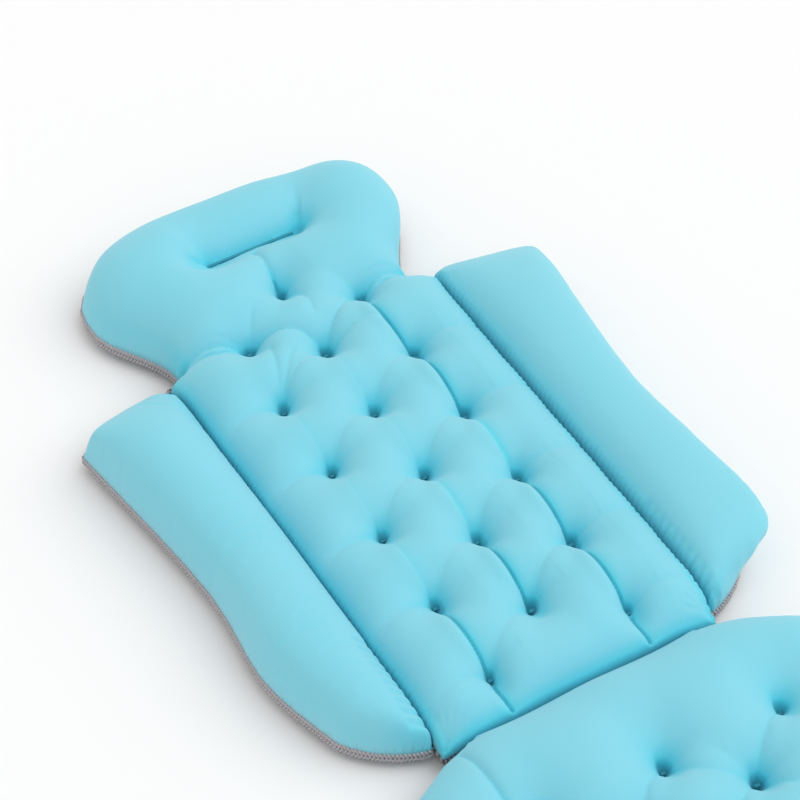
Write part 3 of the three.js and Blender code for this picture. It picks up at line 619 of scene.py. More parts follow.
# Tufting threads
# Twisted aqua thread passes through cover, filling and mesh at each tuft and is finished above
# and below with a bar of satin stitches. The head's slit is sewn with the same thread.
TACK_RADIUS = 0.00048
TACK_LENGTH = 0.0030
TACK_STEP = 0.00085
TACK_COUNT = 5
NECK_TUFTS = ((-0.055, 0.316), (0.059, 0.324))
NECK_TUFT_LEVEL = 0.034
THREAD_DARK = (0.02, 0.24, 0.32, 1)
THREAD_PALE = (0.05, 0.38, 0.49, 1)

thread, tree, shader = new_material("aqua_thread")
place = add_node(tree, "ShaderNodeTexCoord").outputs["Object"]
twist = add_node(tree, "ShaderNodeTexWave", [
    ("Vector", place), ("Scale", 700.0), ("Distortion", 0.6)], bands_direction="DIAGONAL")
thread_colour = mixed(tree, twist.outputs["Fac"], THREAD_DARK, THREAD_PALE)
finish_surface(tree, shader, thread_colour, twist.outputs["Fac"], strength=0.5, distance=0.0002)
shader.inputs["Roughness"].default_value = 0.80
for name in sorted(nodes):
    if "_tuft_" in name or name == "head_slit_stitch":
        nodes[name].material_slots[0].material = thread

tack_shape = one_stitch(TACK_RADIUS, TACK_LENGTH)


def tack_bars(name, spots):
    """Bars of satin stitches, one at each spot (x, y, z)."""
    stands = []
    for x, y, z in spots:
        for k in range(TACK_COUNT):
            aside = TACK_STEP * (k - (TACK_COUNT - 1) / 2)
            stands.append(((x + aside, y, z), (1, 0, 0), (0, 0, -1), (0, 1, 0)))
    bars = stitches(name, tack_shape, stands)
    bars.data.materials.append(thread)
    return bars


def tack_ends(prefix):
    """Where the bars of a cushion's tufts lie, above and below."""
    ends = []
    for name in sorted(nodes):
        if name.startswith(prefix):
            low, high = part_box(name)
            x, y = (low.x + high.x) / 2, (low.y + high.y) / 2
            ends += [(x, y, high.z - TACK_RADIUS / 2), (x, y, low.z + TACK_RADIUS / 2)]
    return ends


neck_ends = [(x, y, NECK_TUFT_LEVEL) for x, y in NECK_TUFTS]
bend(tack_bars("back_tack_bars", tack_ends("back_tuft_") + neck_ends), "back")
seat_bars = tack_bars("seat_tack_bars", tack_ends("seat_tuft_"))
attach(seat_bars, "seat")
bend(tack_bars("head_tack_bars", tack_ends("head_tuft_")), "head")

# The head's tuft lies where the fabric bends at the neck. Its thread is copied as one welded piece.
head_thread_mesh = nodes["head_tuft_1"].data.copy()
loose = bmesh.new()
loose.from_mesh(head_thread_mesh)
bmesh.ops.remove_doubles(loose, verts=loose.verts, dist=1e-6)
loose.to_mesh(head_thread_mesh)
loose.free()
head_thread = bpy.data.objects.new("head_tuft_thread", head_thread_mesh)
scene.collection.objects.link(head_thread)
head_thread_mesh.materials.clear()
head_thread_mesh.materials.append(thread)
bend(head_thread, "head")
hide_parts("head_tuft_1")


# Head and back cushion
# One length of aqua stretch fabric covers the head pillow and the middle of the back. It is
# sewn down round its rim, along the head's stitched line and at each tuft, and stuffed hard.
CLOTH_SPACING = 0.0036
CLOTH_FRAMES = 20
RIM_LEVEL = 0.0162
STITCH_LEVEL = 0.0345
TACK_SINK = 0.0012
SLACK_NOISE_SCALE = 16.0
SLACK_NOISE = 0.5


def fade(distance, spread):
    """1 at no distance, falling away over the spread."""
    return np.exp(-((distance / spread) ** 2) / 2)


def ease(share):
    """0 to 1 with a soft start and a soft end."""
    share = np.clip(share, 0, 1)
    return share * share * (3 - 2 * share)


def full_edge(distance, reach, fullness):
    """Rise of a stuffed edge from 0 at its rim to 1 at its reach, with an upright full side."""
    share = np.clip(distance / reach, 0, 1)
    return (1 - (1 - share) ** fullness) ** (1 / fullness)


def sewn_edge(distance, touch, reach):
    """Rise of a cover from a seam, where it already presses on its neighbour, to 1 at its reach."""
    share = np.clip(distance / reach, 0, 1)
    return touch + (1 - touch) * share * (2 - share)


def free_distance(points, outline, sewn):
    """Distance from the parts of an outline that aren't sewn to a neighbour."""
    nearest = np.full(len(points), 1e9)
    after = np.roll(outline, -1, 0)
    for start, end in zip(outline[~sewn], after[~sewn]):
        nearest = np.minimum(nearest, line_distance(points, start, end))
    return nearest


def bowed(start, end, bow):
    """Points along a shallow curve between two spots, bowed sideways."""
    start, end = np.array(start), np.array(end)
    share = np.linspace(0, 1, 12)[:, None]
    along = (end - start) / np.linalg.norm(end - start)
    aside = np.array([along[1], -along[0]])
    return start + share * (end - start) + 4 * bow * share * (1 - share) * aside


def curve_distance(points, curve):
    """Distance of each point from a row of points."""
    nearest = np.full(len(points), 1e9)
    for start, end in zip(curve, curve[1:]):
        nearest = np.minimum(nearest, line_distance(points, start, end))
    return nearest


def drawn_down(flat, full, pulls):
    """Height of the filling where stitches draw it down. A pull is a curve, its strength, its
    width and its power: 1 leaves a sharp crease, 2 a soft valley."""
    left = np.ones(len(flat))
    for curve, strength, width, power in pulls:
        left *= 1 - strength * np.exp(-((curve_distance(flat, curve) / width) ** power))
    return STITCH_LEVEL + (full - STITCH_LEVEL) * np.where(full > STITCH_LEVEL, left, 1)


def dimple(spot):
    """The pulls of one tuft: a tight pit in a wide shallow funnel that falls gently from below."""
    here = np.array([spot, spot])
    below = np.array([spot - (0, 0.004), spot - (0, 0.014)])
    return [(here, 0.90, 0.0070, 1), (below, 0.30, 0.0100, 2), (here, 0.10, 0.0240, 2)]


def tack_spots(prefix):
    """Places and heights of the tufting stitches whose node names start with the prefix."""
    corners = [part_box(name) for name in sorted(nodes) if name.startswith(prefix)]
    spots = np.array([((low.x + high.x) / 2, (low.y + high.y) / 2) for low, high in corners])
    return spots, np.array([high.z - TACK_SINK for low, high in corners])


def neighbours(spots, reach):
    """Pairs of spots within reach of each other but not in one column, the upper one first."""
    pairs = []
    for k, first in enumerate(spots):
        for second in spots[k + 1:]:
            if np.linalg.norm(first - second) < reach and abs(first[0] - second[0]) > 0.02:
                pairs.append((first, second) if first[1] > second[1] else (second, first))
    return pairs


def loose_cover(name, outline, spots, levels, filled, slack, pressure, tension, support):
    """A cover laid over its filling, held at its rim and stitches, ready to be pressed out. Slack
    is what the fabric has to spare at the rim and in the middle, support how firm the fill is."""
    flat, faces = cut_cloth(outline, spots, CLOTH_SPACING)
    held = len(outline) + len(spots)
    distance = edge_distance(flat, outline)
    height = filled(flat)
    height[:held] = np.concatenate([np.full(len(outline), RIM_LEVEL), levels])
    cover = new_object(name, np.column_stack([flat, height]), faces)
    cut = cover.data.attributes.new("cut", "FLOAT_VECTOR", "POINT")
    cut.data.foreach_set("vector", np.column_stack([flat, np.zeros(len(flat))]).ravel())
    sewn = cover.vertex_groups.new(name="sewn")
    sewn.add(list(range(len(flat))), support, "REPLACE")
    sewn.add(list(range(held)), 1.0, "REPLACE")
    rim_slack, middle_slack, reach = slack
    spare = ease(distance / reach)
    spare *= [1 + SLACK_NOISE * noise.noise((x * SLACK_NOISE_SCALE, y * SLACK_NOISE_SCALE, 3.0))
              for x, y in flat]
    tight = cover.vertex_groups.new(name="tight")
    for index, share in enumerate(np.clip(spare, 0, 1)):
        tight.add([index], 1 - share, "REPLACE")
    cloth = cover.modifiers.new("cloth", "CLOTH")
    cloth.settings.vertex_group_mass = "sewn"
    cloth.settings.vertex_group_shrink = "tight"
    cloth.settings.shrink_min = -middle_slack
    cloth.settings.shrink_max = -rim_slack
    cloth.settings.quality = 6
    cloth.settings.mass = 0.15
    cloth.settings.air_damping = 2
    cloth.settings.tension_stiffness = tension
    cloth.settings.compression_stiffness = 0.02
    cloth.settings.shear_stiffness = 0.1
    cloth.settings.bending_stiffness = 0.1
    cloth.settings.use_pressure = True
    cloth.settings.uniform_pressure_force = pressure
    cloth.settings.effector_weights.gravity = 0
    cloth.collision_settings.use_collision = False
    cloth.collision_settings.use_self_collision = False
    cloth.point_cache.frame_start = 1
    cloth.point_cache.frame_end = CLOTH_FRAMES
    return cover


head_arch = panels["head"][panels["head"][:, 1] > NECK_Y + HINGE_REACH]
arch_start = np.argmax(np.linalg.norm(np.roll(head_arch, 1, 0) - head_arch, axis=1))
head_arch = np.roll(head_arch, -arch_start, 0)
if head_arch[0, 0] < 0:
    head_arch = head_arch[::-1]
neck_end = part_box("neck_seam")[1].x
back_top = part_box("back_base_mesh")[1].y
head_back_outline = evenly(np.concatenate([
    [(-SEAM_X, WAIST_Y), (SEAM_X, WAIST_Y), (SEAM_X, back_top), (neck_end, back_top)],
    head_arch,
    [(-neck_end, back_top), (-SEAM_X, back_top)],
]), CLOTH_SPACING)

SLIT_LOOSE = 0.010
slit_low, slit_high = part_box("head_slit_stitch")
slit_y = (slit_low.y + slit_high.y) / 2
slit_count = round((slit_high.x - slit_low.x - SLIT_LOOSE) / CLOTH_SPACING) + 1
slit_spots = np.column_stack([
    np.linspace(slit_low.x + SLIT_LOOSE, slit_high.x, slit_count), np.full(slit_count, slit_y)])
slit_levels = np.full(slit_count, slit_high.z - TACK_SINK)
back_tufts, back_levels = tack_spots("back_tuft")
head_tufts, head_levels = tack_spots("head_tuft")
neck_tufts = np.array(NECK_TUFTS)
neck_levels = np.full(2, NECK_TUFT_LEVEL)

# Where the filling is drawn down: at each tuft, softly between tufts that lie across from each
# other, along the slit, and over the neck fold.
TUFT_REACH = 0.085
back_spots = np.concatenate([back_tufts, neck_tufts, head_tufts])
back_pairs = neighbours(back_spots, TUFT_REACH)
back_pulls = []
for spot in back_spots:
    back_pulls += dimple(spot)
for upper, lower in back_pairs:
    strength = 0.12 if lower[0] < upper[0] else 0.05
    back_pulls.append((bowed(upper, lower, 0.003), strength, 0.012, 2))
slit_line = np.array([
    (slit_low.x - 0.004, slit_y + 0.002), (-0.030, slit_y - 0.0005), (0.0, slit_y),
    (0.030, slit_y + 0.001), (slit_high.x, slit_y + 0.004), (slit_high.x + 0.009, slit_y + 0.012)])
slit_valley = np.array([slit_line[-1], (0.067, slit_y + 0.024), (0.074, slit_y + 0.036)])
slit_slope = np.array([(-0.030, slit_y + 0.016), (0.020, slit_y + 0.020), (0.052, slit_y + 0.028)])
back_pulls.append((slit_line, 0.62, 0.0070, 1))
back_pulls.append((slit_slope, 0.30, 0.028, 2))
back_pulls.append((slit_line - (0, 0.012), 0.26, 0.014, 2))
back_pulls.append((slit_valley, 0.26, 0.018, 2))
NECK_CREASE_Y = 0.331
neck_sides = [(side, neck_tufts[k], (side * neck_end, NECK_CREASE_Y)) for k, side in enumerate((-1, 1))]
for _, neck_tuft, neck_spot in neck_sides:
    back_pulls.append((bowed(neck_tuft, neck_spot, 0), 0.50, 0.012, 2))
back_pulls.append((bowed(neck_tufts[0], neck_tufts[1], -0.006), 0.40, 0.018, 2))

BACK_CROWN = 0.034
HEAD_CROWN = 0.053
BACK_REACH = 0.036
HEAD_REACH = 0.048
BACK_FULLNESS = 2.4
HEAD_FULLNESS = 2.0
SIDE_TOUCH = (0.015, 0.027)
SIDE_REACH = 0.036
WAIST_TOUCH = 0.012
WAIST_REACH = 0.042
CORNER_DROP = 0.5
CORNER_REACH = 0.018
BOLSTER_CROWN = 0.054
BOLSTER_END = 0.105
BLUNT_END = 0.055
BLUNT_REACH = 0.06
TOUCH_SHARE = 0.8
HEAD_START, HEAD_GROWTH = 0.055, 0.09
BACK_RUN_ON, BACK_RUN_OUT = 0.012, 0.02


def end_slope(flat):
    """Fall of the bolsters, and of the back's sides beside them, towards their top edge. The
    right one is blunter beside the back."""
    from_seam = ease((flat[:, 0] - SEAM_X) / BLUNT_REACH)
    blunt = BLUNT_END + (BOLSTER_END - BLUNT_END) * from_seam
    length = np.where(flat[:, 0] < 0, BOLSTER_END, blunt)
    return np.sin(np.pi / 2 * np.clip((back_top - flat[:, 1]) / length, 0, 1))


def side_touch(flat):
    """How high the covers press against each other along the bolster seams."""
    touch = np.where(flat[:, 0] < 0, *SIDE_TOUCH)
    return np.minimum(touch, TOUCH_SHARE * BOLSTER_CROWN * end_slope(flat))


def corner_drop(flat):
    """Share of its height that a cover keeps near the lower ends of the bolster seams."""
    to_corner = np.hypot(np.abs(flat[:, 0]) - SEAM_X, flat[:, 1] - WAIST_Y)
    return 1 - CORNER_DROP * fade(to_corner, CORNER_REACH)


def head_back_filled(flat):
    """Height of the filling under the head and back cover."""
    distance = edge_distance(flat, head_back_outline)
    on_head = ease((flat[:, 1] - NECK_Y - HEAD_START) / HEAD_GROWTH)
    on_back = ease((NECK_Y + BACK_RUN_ON - flat[:, 1]) / BACK_RUN_OUT)
    sides = sewn_edge(SEAM_X - np.abs(flat[:, 0]), side_touch(flat) / BACK_CROWN, SIDE_REACH)
    waist = sewn_edge(flat[:, 1] - WAIST_Y, WAIST_TOUCH / BACK_CROWN, WAIST_REACH)
    neck_edge = full_edge(distance, BACK_REACH, BACK_FULLNESS)
    to_top = np.minimum(*[
        line_distance(flat, (side * neck_end, back_top), (side * SEAM_X, back_top))
        for side in (-1, 1)])
    top = full_edge(to_top, BACK_REACH, HEAD_FULLNESS)
    back_edge = np.minimum(np.minimum(sides, waist) * corner_drop(flat), top)
    back_edge = neck_edge + (back_edge - neck_edge) * on_back
    head_edge = full_edge(distance, HEAD_REACH, HEAD_FULLNESS)
    crown = BACK_CROWN + (HEAD_CROWN - BACK_CROWN) * on_head
    full = RIM_LEVEL + crown * (back_edge + (head_edge - back_edge) * on_head)
    return drawn_down(flat, full, back_pulls)


head_back = loose_cover(
    "head_back_cushion", head_back_outline,
    np.concatenate([back_tufts, head_tufts, neck_tufts, slit_spots]),
    np.concatenate([back_levels, head_levels, neck_levels, slit_levels]),
    head_back_filled, slack=(0.01, 0.07, 0.05), pressure=120, tension=1, support=0.08)


# Bolsters
# A stuffed roll down each side of the back, sewn to it along a straight seam and to the base
# round the rest of its rim. Nothing is tufted here, so the fabric stays smooth.
BOLSTER_REACH = 0.044
BOLSTER_FULLNESS = 2.2
BOLSTER_LEAN = 0.056


def bolster_filled(flat):
    """Height of a bolster: a full roll that leans on the back along its seam, and whose top end
    slopes down to the rim."""
    outline = evenly(panels["left_bolster" if flat[0, 0] < 0 else "right_bolster"], CLOTH_SPACING)
    outer = free_distance(flat, outline, np.abs(outline[:, 0]) < SEAM_X + ON_FOLD)
    roll = full_edge(outer, BOLSTER_REACH, BOLSTER_FULLNESS)
    inner = sewn_edge(np.abs(flat[:, 0]) - SEAM_X, side_touch(flat) / BOLSTER_CROWN, BOLSTER_LEAN)
    height = np.minimum(np.minimum(roll, inner), end_slope(flat)) * corner_drop(flat)
    return RIM_LEVEL + BOLSTER_CROWN * height


bolsters = {}
for body in ("left_bolster", "right_bolster"):
    outline = evenly(panels[body], CLOTH_SPACING)
    bolsters[body] = loose_cover(
        body + "_cushion", outline, np.zeros((0, 2)), [],
        bolster_filled, slack=(0.0, 0.02, 0.04), pressure=140, tension=4, support=0.08)


# Seat cushion
# The seat is stuffed and tufted like the back, wider, with a straight waist edge and a rounded
# foot. Only its upper corner shows in the picture.
SEAT_CROWN = 0.036
SEAT_REACH = 0.070
SEAT_FULLNESS = 2.4
SEAT_RISE = 0.085
seat_outline = evenly(panels["seat"], CLOTH_SPACING)
seat_tufts, seat_levels = tack_spots("seat_tuft")
seat_pulls = []
for spot in seat_tufts:
    seat_pulls += dimple(spot)
for first, second in neighbours(seat_tufts, TUFT_REACH):
    seat_pulls.append((bowed(first, second, 0.003), 0.16, 0.010, 2))


def seat_filled(flat):
    """Height of the filling under the seat cover."""
    outer = free_distance(flat, seat_outline, seat_outline[:, 1] > WAIST_Y - 0.003)
    rim_slope = full_edge(outer, SEAT_REACH, SEAT_FULLNESS)
    waist_slope = sewn_edge(WAIST_Y - flat[:, 1], WAIST_TOUCH / SEAT_CROWN, SEAT_RISE)
    full = RIM_LEVEL + SEAT_CROWN * np.minimum(rim_slope, waist_slope)
    return drawn_down(flat, full, seat_pulls)


seat = loose_cover(
    "seat_cushion", seat_outline, seat_tufts, seat_levels,
    seat_filled, slack=(0.01, 0.08, 0.05), pressure=120, tension=1, support=0.08)


# Stuffing
# The fill presses all the covers out at once. Then each is pressed against its neighbours at
# the seams, smoothed, closed underneath and given its fabric.
covers = [head_back, *bolsters.values(), seat]
for number in range(1, CLOTH_FRAMES + 1):
    scene.frame_set(number)
for cover in covers:
    stuffed = bpy.data.meshes.new_from_object(
        cover.evaluated_get(bpy.context.evaluated_depsgraph_get()))
    cover.modifiers.clear()
    cover.data = stuffed

SEAM_CLEARANCE = 0.0004
HEAD_LEAN = 0.16
HEAD_BULGE = 0.009
TOP_BULGE = 0.006
HIP_DROP = 0.014
PUFF_HEIGHT = 0.03
HEAD_LEAN_REACH = 0.06
FLANK_X, FLANK_REACH = 0.09, 0.04
FLANK_Y, FLANK_SPREAD = 0.388, 0.024
TOP_Y, TOP_REACH = 0.455, 0.03
HIP_Y, HIP_REACH = 0.03, 0.12
BULGE_START, BULGE_REACH = 0.02, 0.05
HIP_DROP_Y, HIP_DROP_REACH = -0.045, 0.05
BOLSTER_BULGE = {"left_bolster": (0.003, 0.003), "right_bolster": (0.012, 0.044)}


def points_of(cover):
    """The places of a piece's points."""
    places = np.empty(len(cover.data.vertices) * 3)
    cover.data.vertices.foreach_get("co", places)
    return places.reshape(-1, 3)


def set_points(cover, places):
    """Moves a piece's points to these places."""
    cover.data.vertices.foreach_set("co", places.ravel())
    cover.data.update()


places = points_of(head_back)
beside = places[:, 1] < NECK_Y
places[beside, 0] = np.clip(places[beside, 0], SEAM_CLEARANCE - SEAM_X, SEAM_X - SEAM_CLEARANCE)
places[:, 1] = np.maximum(places[:, 1], WAIST_Y + SEAM_CLEARANCE)
puffed = np.sqrt(np.clip((places[:, 2] - RIM_LEVEL) / PUFF_HEIGHT, 0, 1))
on_head = ease((places[:, 1] - NECK_Y) / HEAD_LEAN_REACH)
places[:, 0] += HEAD_LEAN * (places[:, 2] - RIM_LEVEL) * on_head
flank = ease((places[:, 0] - FLANK_X) / FLANK_REACH) * fade(places[:, 1] - FLANK_Y, FLANK_SPREAD)
places[:, 0] += HEAD_BULGE * puffed * flank
places[:, 1] += TOP_BULGE * puffed * ease((places[:, 1] - TOP_Y) / TOP_REACH)
set_points(head_back, places)
for body, cover in bolsters.items():
    places = points_of(cover)
    side = -1 if body == "left_bolster" else 1
    share = (places[:, 2] - RIM_LEVEL) / (places[:, 2].max() - RIM_LEVEL)
    upper, hip = BOLSTER_BULGE[body]
    bulge = upper + (hip - upper) * ease((HIP_Y - places[:, 1]) / HIP_REACH)
    outer = ease((side * places[:, 0] - SEAM_X - BULGE_START) / BULGE_REACH)
    puffed = np.sqrt(np.clip(share, 0, 1)) * outer
    places[:, 0] += side * bulge * puffed
    if side > 0:
        places[:, 1] -= HIP_DROP * puffed * ease((HIP_DROP_Y - places[:, 1]) / HIP_DROP_REACH)
    places[:, 0] = side * np.maximum(side * places[:, 0], SEAM_X + SEAM_CLEARANCE)
    set_points(cover, places)
places = points_of(seat)
places[:, 1] = np.minimum(places[:, 1], WAIST_Y - SEAM_CLEARANCE)
set_points(seat, places)

LEAN_REACH = 0.010
LEAN_ROW = 0.0065
seam_lines = [
    ((-SEAM_X, WAIST_Y), (-SEAM_X, back_top), 0), ((SEAM_X, WAIST_Y), (SEAM_X, back_top), 0),
    ((-SEAM_X, WAIST_Y), (SEAM_X, WAIST_Y), 1)]


def cut_of(cover):
    """The places that a cover's points had in the flat fabric."""
    cut = np.empty(len(cover.data.vertices) * 3)
    cover.data.attributes["cut"].data.foreach_get("vector", cut)
    return cut.reshape(-1, 3)[:, :2]


def lean_on(cover, outline, filled):
    """Presses a cover's side against its neighbour along the seams, so that only a line shows."""
    places = points_of(cover)
    cut = cut_of(cover)
    full = filled(cut)
    for start, end, axis in seam_lines:
        away = line_distance(cut, start, end)
        away[:len(outline)] = 1
        places[:, 2] += fade(away, LEAN_REACH) * np.maximum(0, full - places[:, 2])
        row = np.flatnonzero(away < LEAN_ROW)
        side = np.sign(cut[row, axis] - start[axis])
        from_seam = side * (places[row, axis] - start[axis])
        from_seam -= away[row] * (1 - away[row] / LEAN_ROW)
        places[row, axis] = start[axis] + side * np.maximum(from_seam, SEAM_CLEARANCE)
    set_points(cover, places)


RELAX_ROUNDS = 8
RELAX_REACH = 0.012
FREE_START, FREE_REACH = 0.01, 0.03


def edge_ends(mesh):
    """Each edge of a mesh twice, once from either of its ends."""
    ends = np.empty(len(mesh.edges) * 2, int)
    mesh.edges.foreach_get("vertices", ends)
    ends = ends.reshape(-1, 2)
    return np.concatenate([ends, ends[:, ::-1]])


def relax_sides(cover, outline, free):
    """Smooths the side of a cover above those parts of its rim that are free of a seam."""
    places = points_of(cover)
    ends = edge_ends(cover.data)
    count = np.bincount(ends[:, 0], minlength=len(places))[:, None]
    share = fade(edge_distance(places[:, :2], outline), RELAX_REACH) * free(places)
    share[:len(outline)] = 0
    for _ in range(RELAX_ROUNDS):
        mean = np.column_stack([
            np.bincount(ends[:, 0], weights=places[ends[:, 1], axis], minlength=len(places))
            for axis in range(3)]) / count
        places += 0.5 * share[:, None] * (mean - places)
    set_points(cover, places)


def head_free(places):
    """1 over the head, 0 where the back lies between its seams."""
    return ease((places[:, 1] - NECK_Y) / FREE_REACH)


def seat_free(places):
    """1 over the seat, falling to 0 at the waist seam."""
    return ease((WAIST_Y - FREE_START - places[:, 1]) / FREE_REACH)


def bolster_free(places):
    """1 over a bolster, falling to 0 at its seam."""
    return ease((np.abs(places[:, 0]) - SEAM_X - FREE_START) / FREE_REACH)


# The bolsters take about half as much painted shade as the other covers.
BOLSTER_SHADE = 0.55
rims = {head_back: (head_back_outline, head_free, 1), seat: (seat_outline, seat_free, 1)}
for body, cover in bolsters.items():
    rims[cover] = (evenly(panels[body], CLOTH_SPACING), bolster_free, BOLSTER_SHADE)
for cover, (outline, free, _) in rims.items():
    filled = {head_back: head_back_filled, seat: seat_filled}.get(cover, bolster_filled)
    lean_on(cover, outline, filled)
    relax_sides(cover, outline, free)

# Crest is the fabric's own colour; the next two are painted shade for hollows, seams and folds.
FABRIC_CREST = (0.208, 0.645, 0.770, 1)
FABRIC_HOLLOW_SHADE = (0.060, 0.66, 0.80, 1)
FABRIC_DEEP_SHADE = (0.030, 0.40, 0.53, 1)
KNIT_PITCH = 0.0011
HOLLOW_ROUNDS = 140
HOLLOW_DEPTH = 0.013
SIDE_SHADE = 0.012
SEAM_SHADE = 0.7
# A painted dark line of shade runs along each seam.
SEAM_LINE_SHADE = 0.85
SEAM_LINE_SHADE_WIDTH = 0.0025
FLUSH_Y, FLUSH_REACH = 0.305, 0.03
RIM_BAND = 0.002
UNDER_SPACING = 0.016


def mark_hollows(cover, outline, free, shade):
    """Notes on each point how deep it lies below the fabric round it, from 0 to the shade, as painted
    shade that darkens its colour. A side above a free rim gets no painted shade, and a side at a
    seam does. A painted dark line marks each seam, apart from the top of the right bolster's, where
    the covers lie flush. Painted shade along the folds counts as well."""
    mesh = cover.data
    ends = edge_ends(mesh)
    height = points_of(cover)[:, 2]
    count = np.bincount(ends[:, 0], minlength=len(height))
    level = height.copy()
    for _ in range(HOLLOW_ROUNDS):
        level = np.bincount(ends[:, 0], weights=level[ends[:, 1]], minlength=len(height)) / count
    # The mark is painted shade, which darkens and deepens the fabric's colour.
    hollow = mesh.attributes.new("hollow", "FLOAT", "POINT")
    depth = np.clip((level - height) / HOLLOW_DEPTH, 0, 1)
    cut = cut_of(cover)
    at_rim = 1 - ease((edge_distance(cut, outline) - RIM_BAND) / SIDE_SHADE)
    depth = shade * (depth + (SEAM_SHADE * (1 - free(cut)) - depth) * at_rim)
    to_seam = np.min([line_distance(cut, start, end) for start, end, _ in seam_lines], axis=0)
    pressed = np.where(cut[:, 0] < 0, 1, ease((FLUSH_Y - cut[:, 1]) / FLUSH_REACH))
    depth = np.maximum(depth, SEAM_LINE_SHADE * pressed * fade(to_seam, SEAM_LINE_SHADE_WIDTH))
    # Painted shade along the folds counts in full.
    if "fold_shade" in mesh.attributes:
        fold_shade = np.empty(len(height))
        mesh.attributes["fold_shade"].data.foreach_get("value", fold_shade)
        depth = np.maximum(depth, fold_shade)
    hollow.data.foreach_set("value", depth)


def close_under(cover):
    """Adds the hidden underside, a flat face of few triangles that shares the rim's points, and
    lays the fabric's own coordinates on as a UV map."""
    mesh = cover.data
    places = points_of(cover)
    cut = cut_of(cover)
    hollow = np.empty(len(places))
    mesh.attributes["hollow"].data.foreach_get("value", hollow)
    shell = [list(face.vertices) for face in mesh.polygons]
    used = set()
    for corners in shell:
        used.update(zip(corners, corners[1:] + corners[:1]))
    following = {a: b for a, b in used if (b, a) not in used}
    rim = [min(following)]
    while following[rim[-1]] != rim[0]:
        rim.append(following[rim[-1]])
    flat, faces = cut_cloth(places[rim, :2], np.zeros((0, 2)), UNDER_SPACING)
    count = len(places)
    extra = flat[len(rim):]
    under_places = np.column_stack([extra, np.full(len(extra), RIM_LEVEL)])
    number = rim + list(range(count, count + len(extra)))
    under = [[number[k] for k in reversed(face)] for face in faces]
    closed = bpy.data.meshes.new(cover.name)
    all_places = np.concatenate([places, under_places])
    closed.from_pydata([tuple(place) for place in all_places], [], shell + under)
    closed.update()
    closed.shade_smooth()
    corners = np.empty(len(closed.loops), int)
    closed.loops.foreach_get("vertex_index", corners)
    weave = closed.uv_layers.new(name="weave")
    weave.uv.foreach_set("vector", np.concatenate([cut, extra])[corners].ravel())
    marks = closed.attributes.new("hollow", "FLOAT", "POINT")
    marks.data.foreach_set("value", np.concatenate([hollow, np.zeros(len(extra))]))
    cover.data = closed


knit_tree, knit_in, knit_out = new_group(
    "knitted_face", [("Place", "Vector"), ("Pitch", "Float")], [("Height", "Float")])
knit_scale = add_node(knit_tree, "ShaderNodeMath", [(0, 1.0), (1, knit_in["Pitch"])],
                      operation="DIVIDE")
knit_place = add_node(knit_tree, "ShaderNodeVectorMath", [(0, knit_in["Place"])], operation="SCALE")
knit_tree.links.new(knit_scale.outputs[0], knit_place.inputs["Scale"])
knit_axes = add_node(knit_tree, "ShaderNodeSeparateXYZ", [(0, knit_place.outputs[0])])
wale = add_node(knit_tree, "ShaderNodeMath", [(0, knit_axes.outputs[0]), (1, 0.5)],
                operation="PINGPONG")
chevron = add_node(knit_tree, "ShaderNodeMath", [
    (0, wale.outputs[0]), (1, 1.3), (2, knit_axes.outputs[1])], operation="MULTIPLY_ADD")
course = add_node(knit_tree, "ShaderNodeMath", [(0, chevron.outputs[0]), (1, 0.5)],
                  operation="PINGPONG")
loop_height = add_node(knit_tree, "ShaderNodeMath", [(0, wale.outputs[0]), (1, course.outputs[0])],
                       operation="ADD")
knit_tree.links.new(loop_height.outputs[0], knit_out["Height"])

aqua_fabric, tree, shader = new_material("aqua_stretch_knit")
weave = add_node(tree, "ShaderNodeUVMap", uv_map="weave").outputs[0]
knit = add_node(tree, "ShaderNodeGroup", node_tree=knit_tree)
tree.links.new(weave, knit.inputs["Place"])
knit.inputs["Pitch"].default_value = KNIT_PITCH
# The colour holds painted shade: the mark on each point, with a faint cloud of random tone,
hollow = add_node(tree, "ShaderNodeAttribute", attribute_name="hollow").outputs["Fac"]
# darkens the crest colour towards the colour for hollows.
cloud = add_node(tree, "ShaderNodeTexNoise", [("Vector", weave), ("Scale", 14.0), ("Detail", 4.0)])
shade = add_node(tree, "ShaderNodeMath", [
    (0, cloud.outputs["Fac"]), (1, 0.25), (2, hollow)], operation="MULTIPLY_ADD")
depth = add_node(tree, "ShaderNodeMapRange", [
    ("Value", shade.outputs[0]), ("From Min", 0.10), ("From Max", 1.0)])
tone = mixed(tree, depth.outputs[0], FABRIC_CREST, FABRIC_HOLLOW_SHADE)
# Where the mark is strongest, at seam lines, fold feet and deep pits, painted shade darkens further.
deep = add_node(tree, "ShaderNodeMapRange", [
    ("Value", hollow), ("From Min", 0.60), ("From Max", 1.0)])
tone = mixed(tree, deep.outputs[0], tone, FABRIC_DEEP_SHADE)
loops = add_node(tree, "ShaderNodeMapRange", [
    ("Value", knit.outputs["Height"]), ("To Min", 0.97), ("To Max", 1.02)])
knit_colour = add_node(tree, "ShaderNodeMix", [
    (0, 1.0), (6, tone), (7, loops.outputs[0])], data_type="RGBA", blend_type="MULTIPLY")
finish_surface(tree, shader, knit_colour.outputs[2], knit.outputs["Height"],
               strength=0.14, distance=0.0003)
rough = add_node(tree, "ShaderNodeMapRange", [
    ("Value", cloud.outputs["Fac"]), ("To Min", 0.70), ("To Max", 0.86)])
tree.links.new(rough.outputs[0], shader.inputs["Roughness"])
shader.inputs["Sheen Weight"].default_value = 0.25
shader.inputs["Sheen Roughness"].default_value = 0.6

for cover in covers:
    bpy.context.view_layer.objects.active = cover
    finer = cover.modifiers.new("finer", "SUBSURF")
    finer.levels = finer.render_levels = 1
    bpy.ops.object.modifier_apply(modifier="finer")
    cover.vertex_groups.clear()


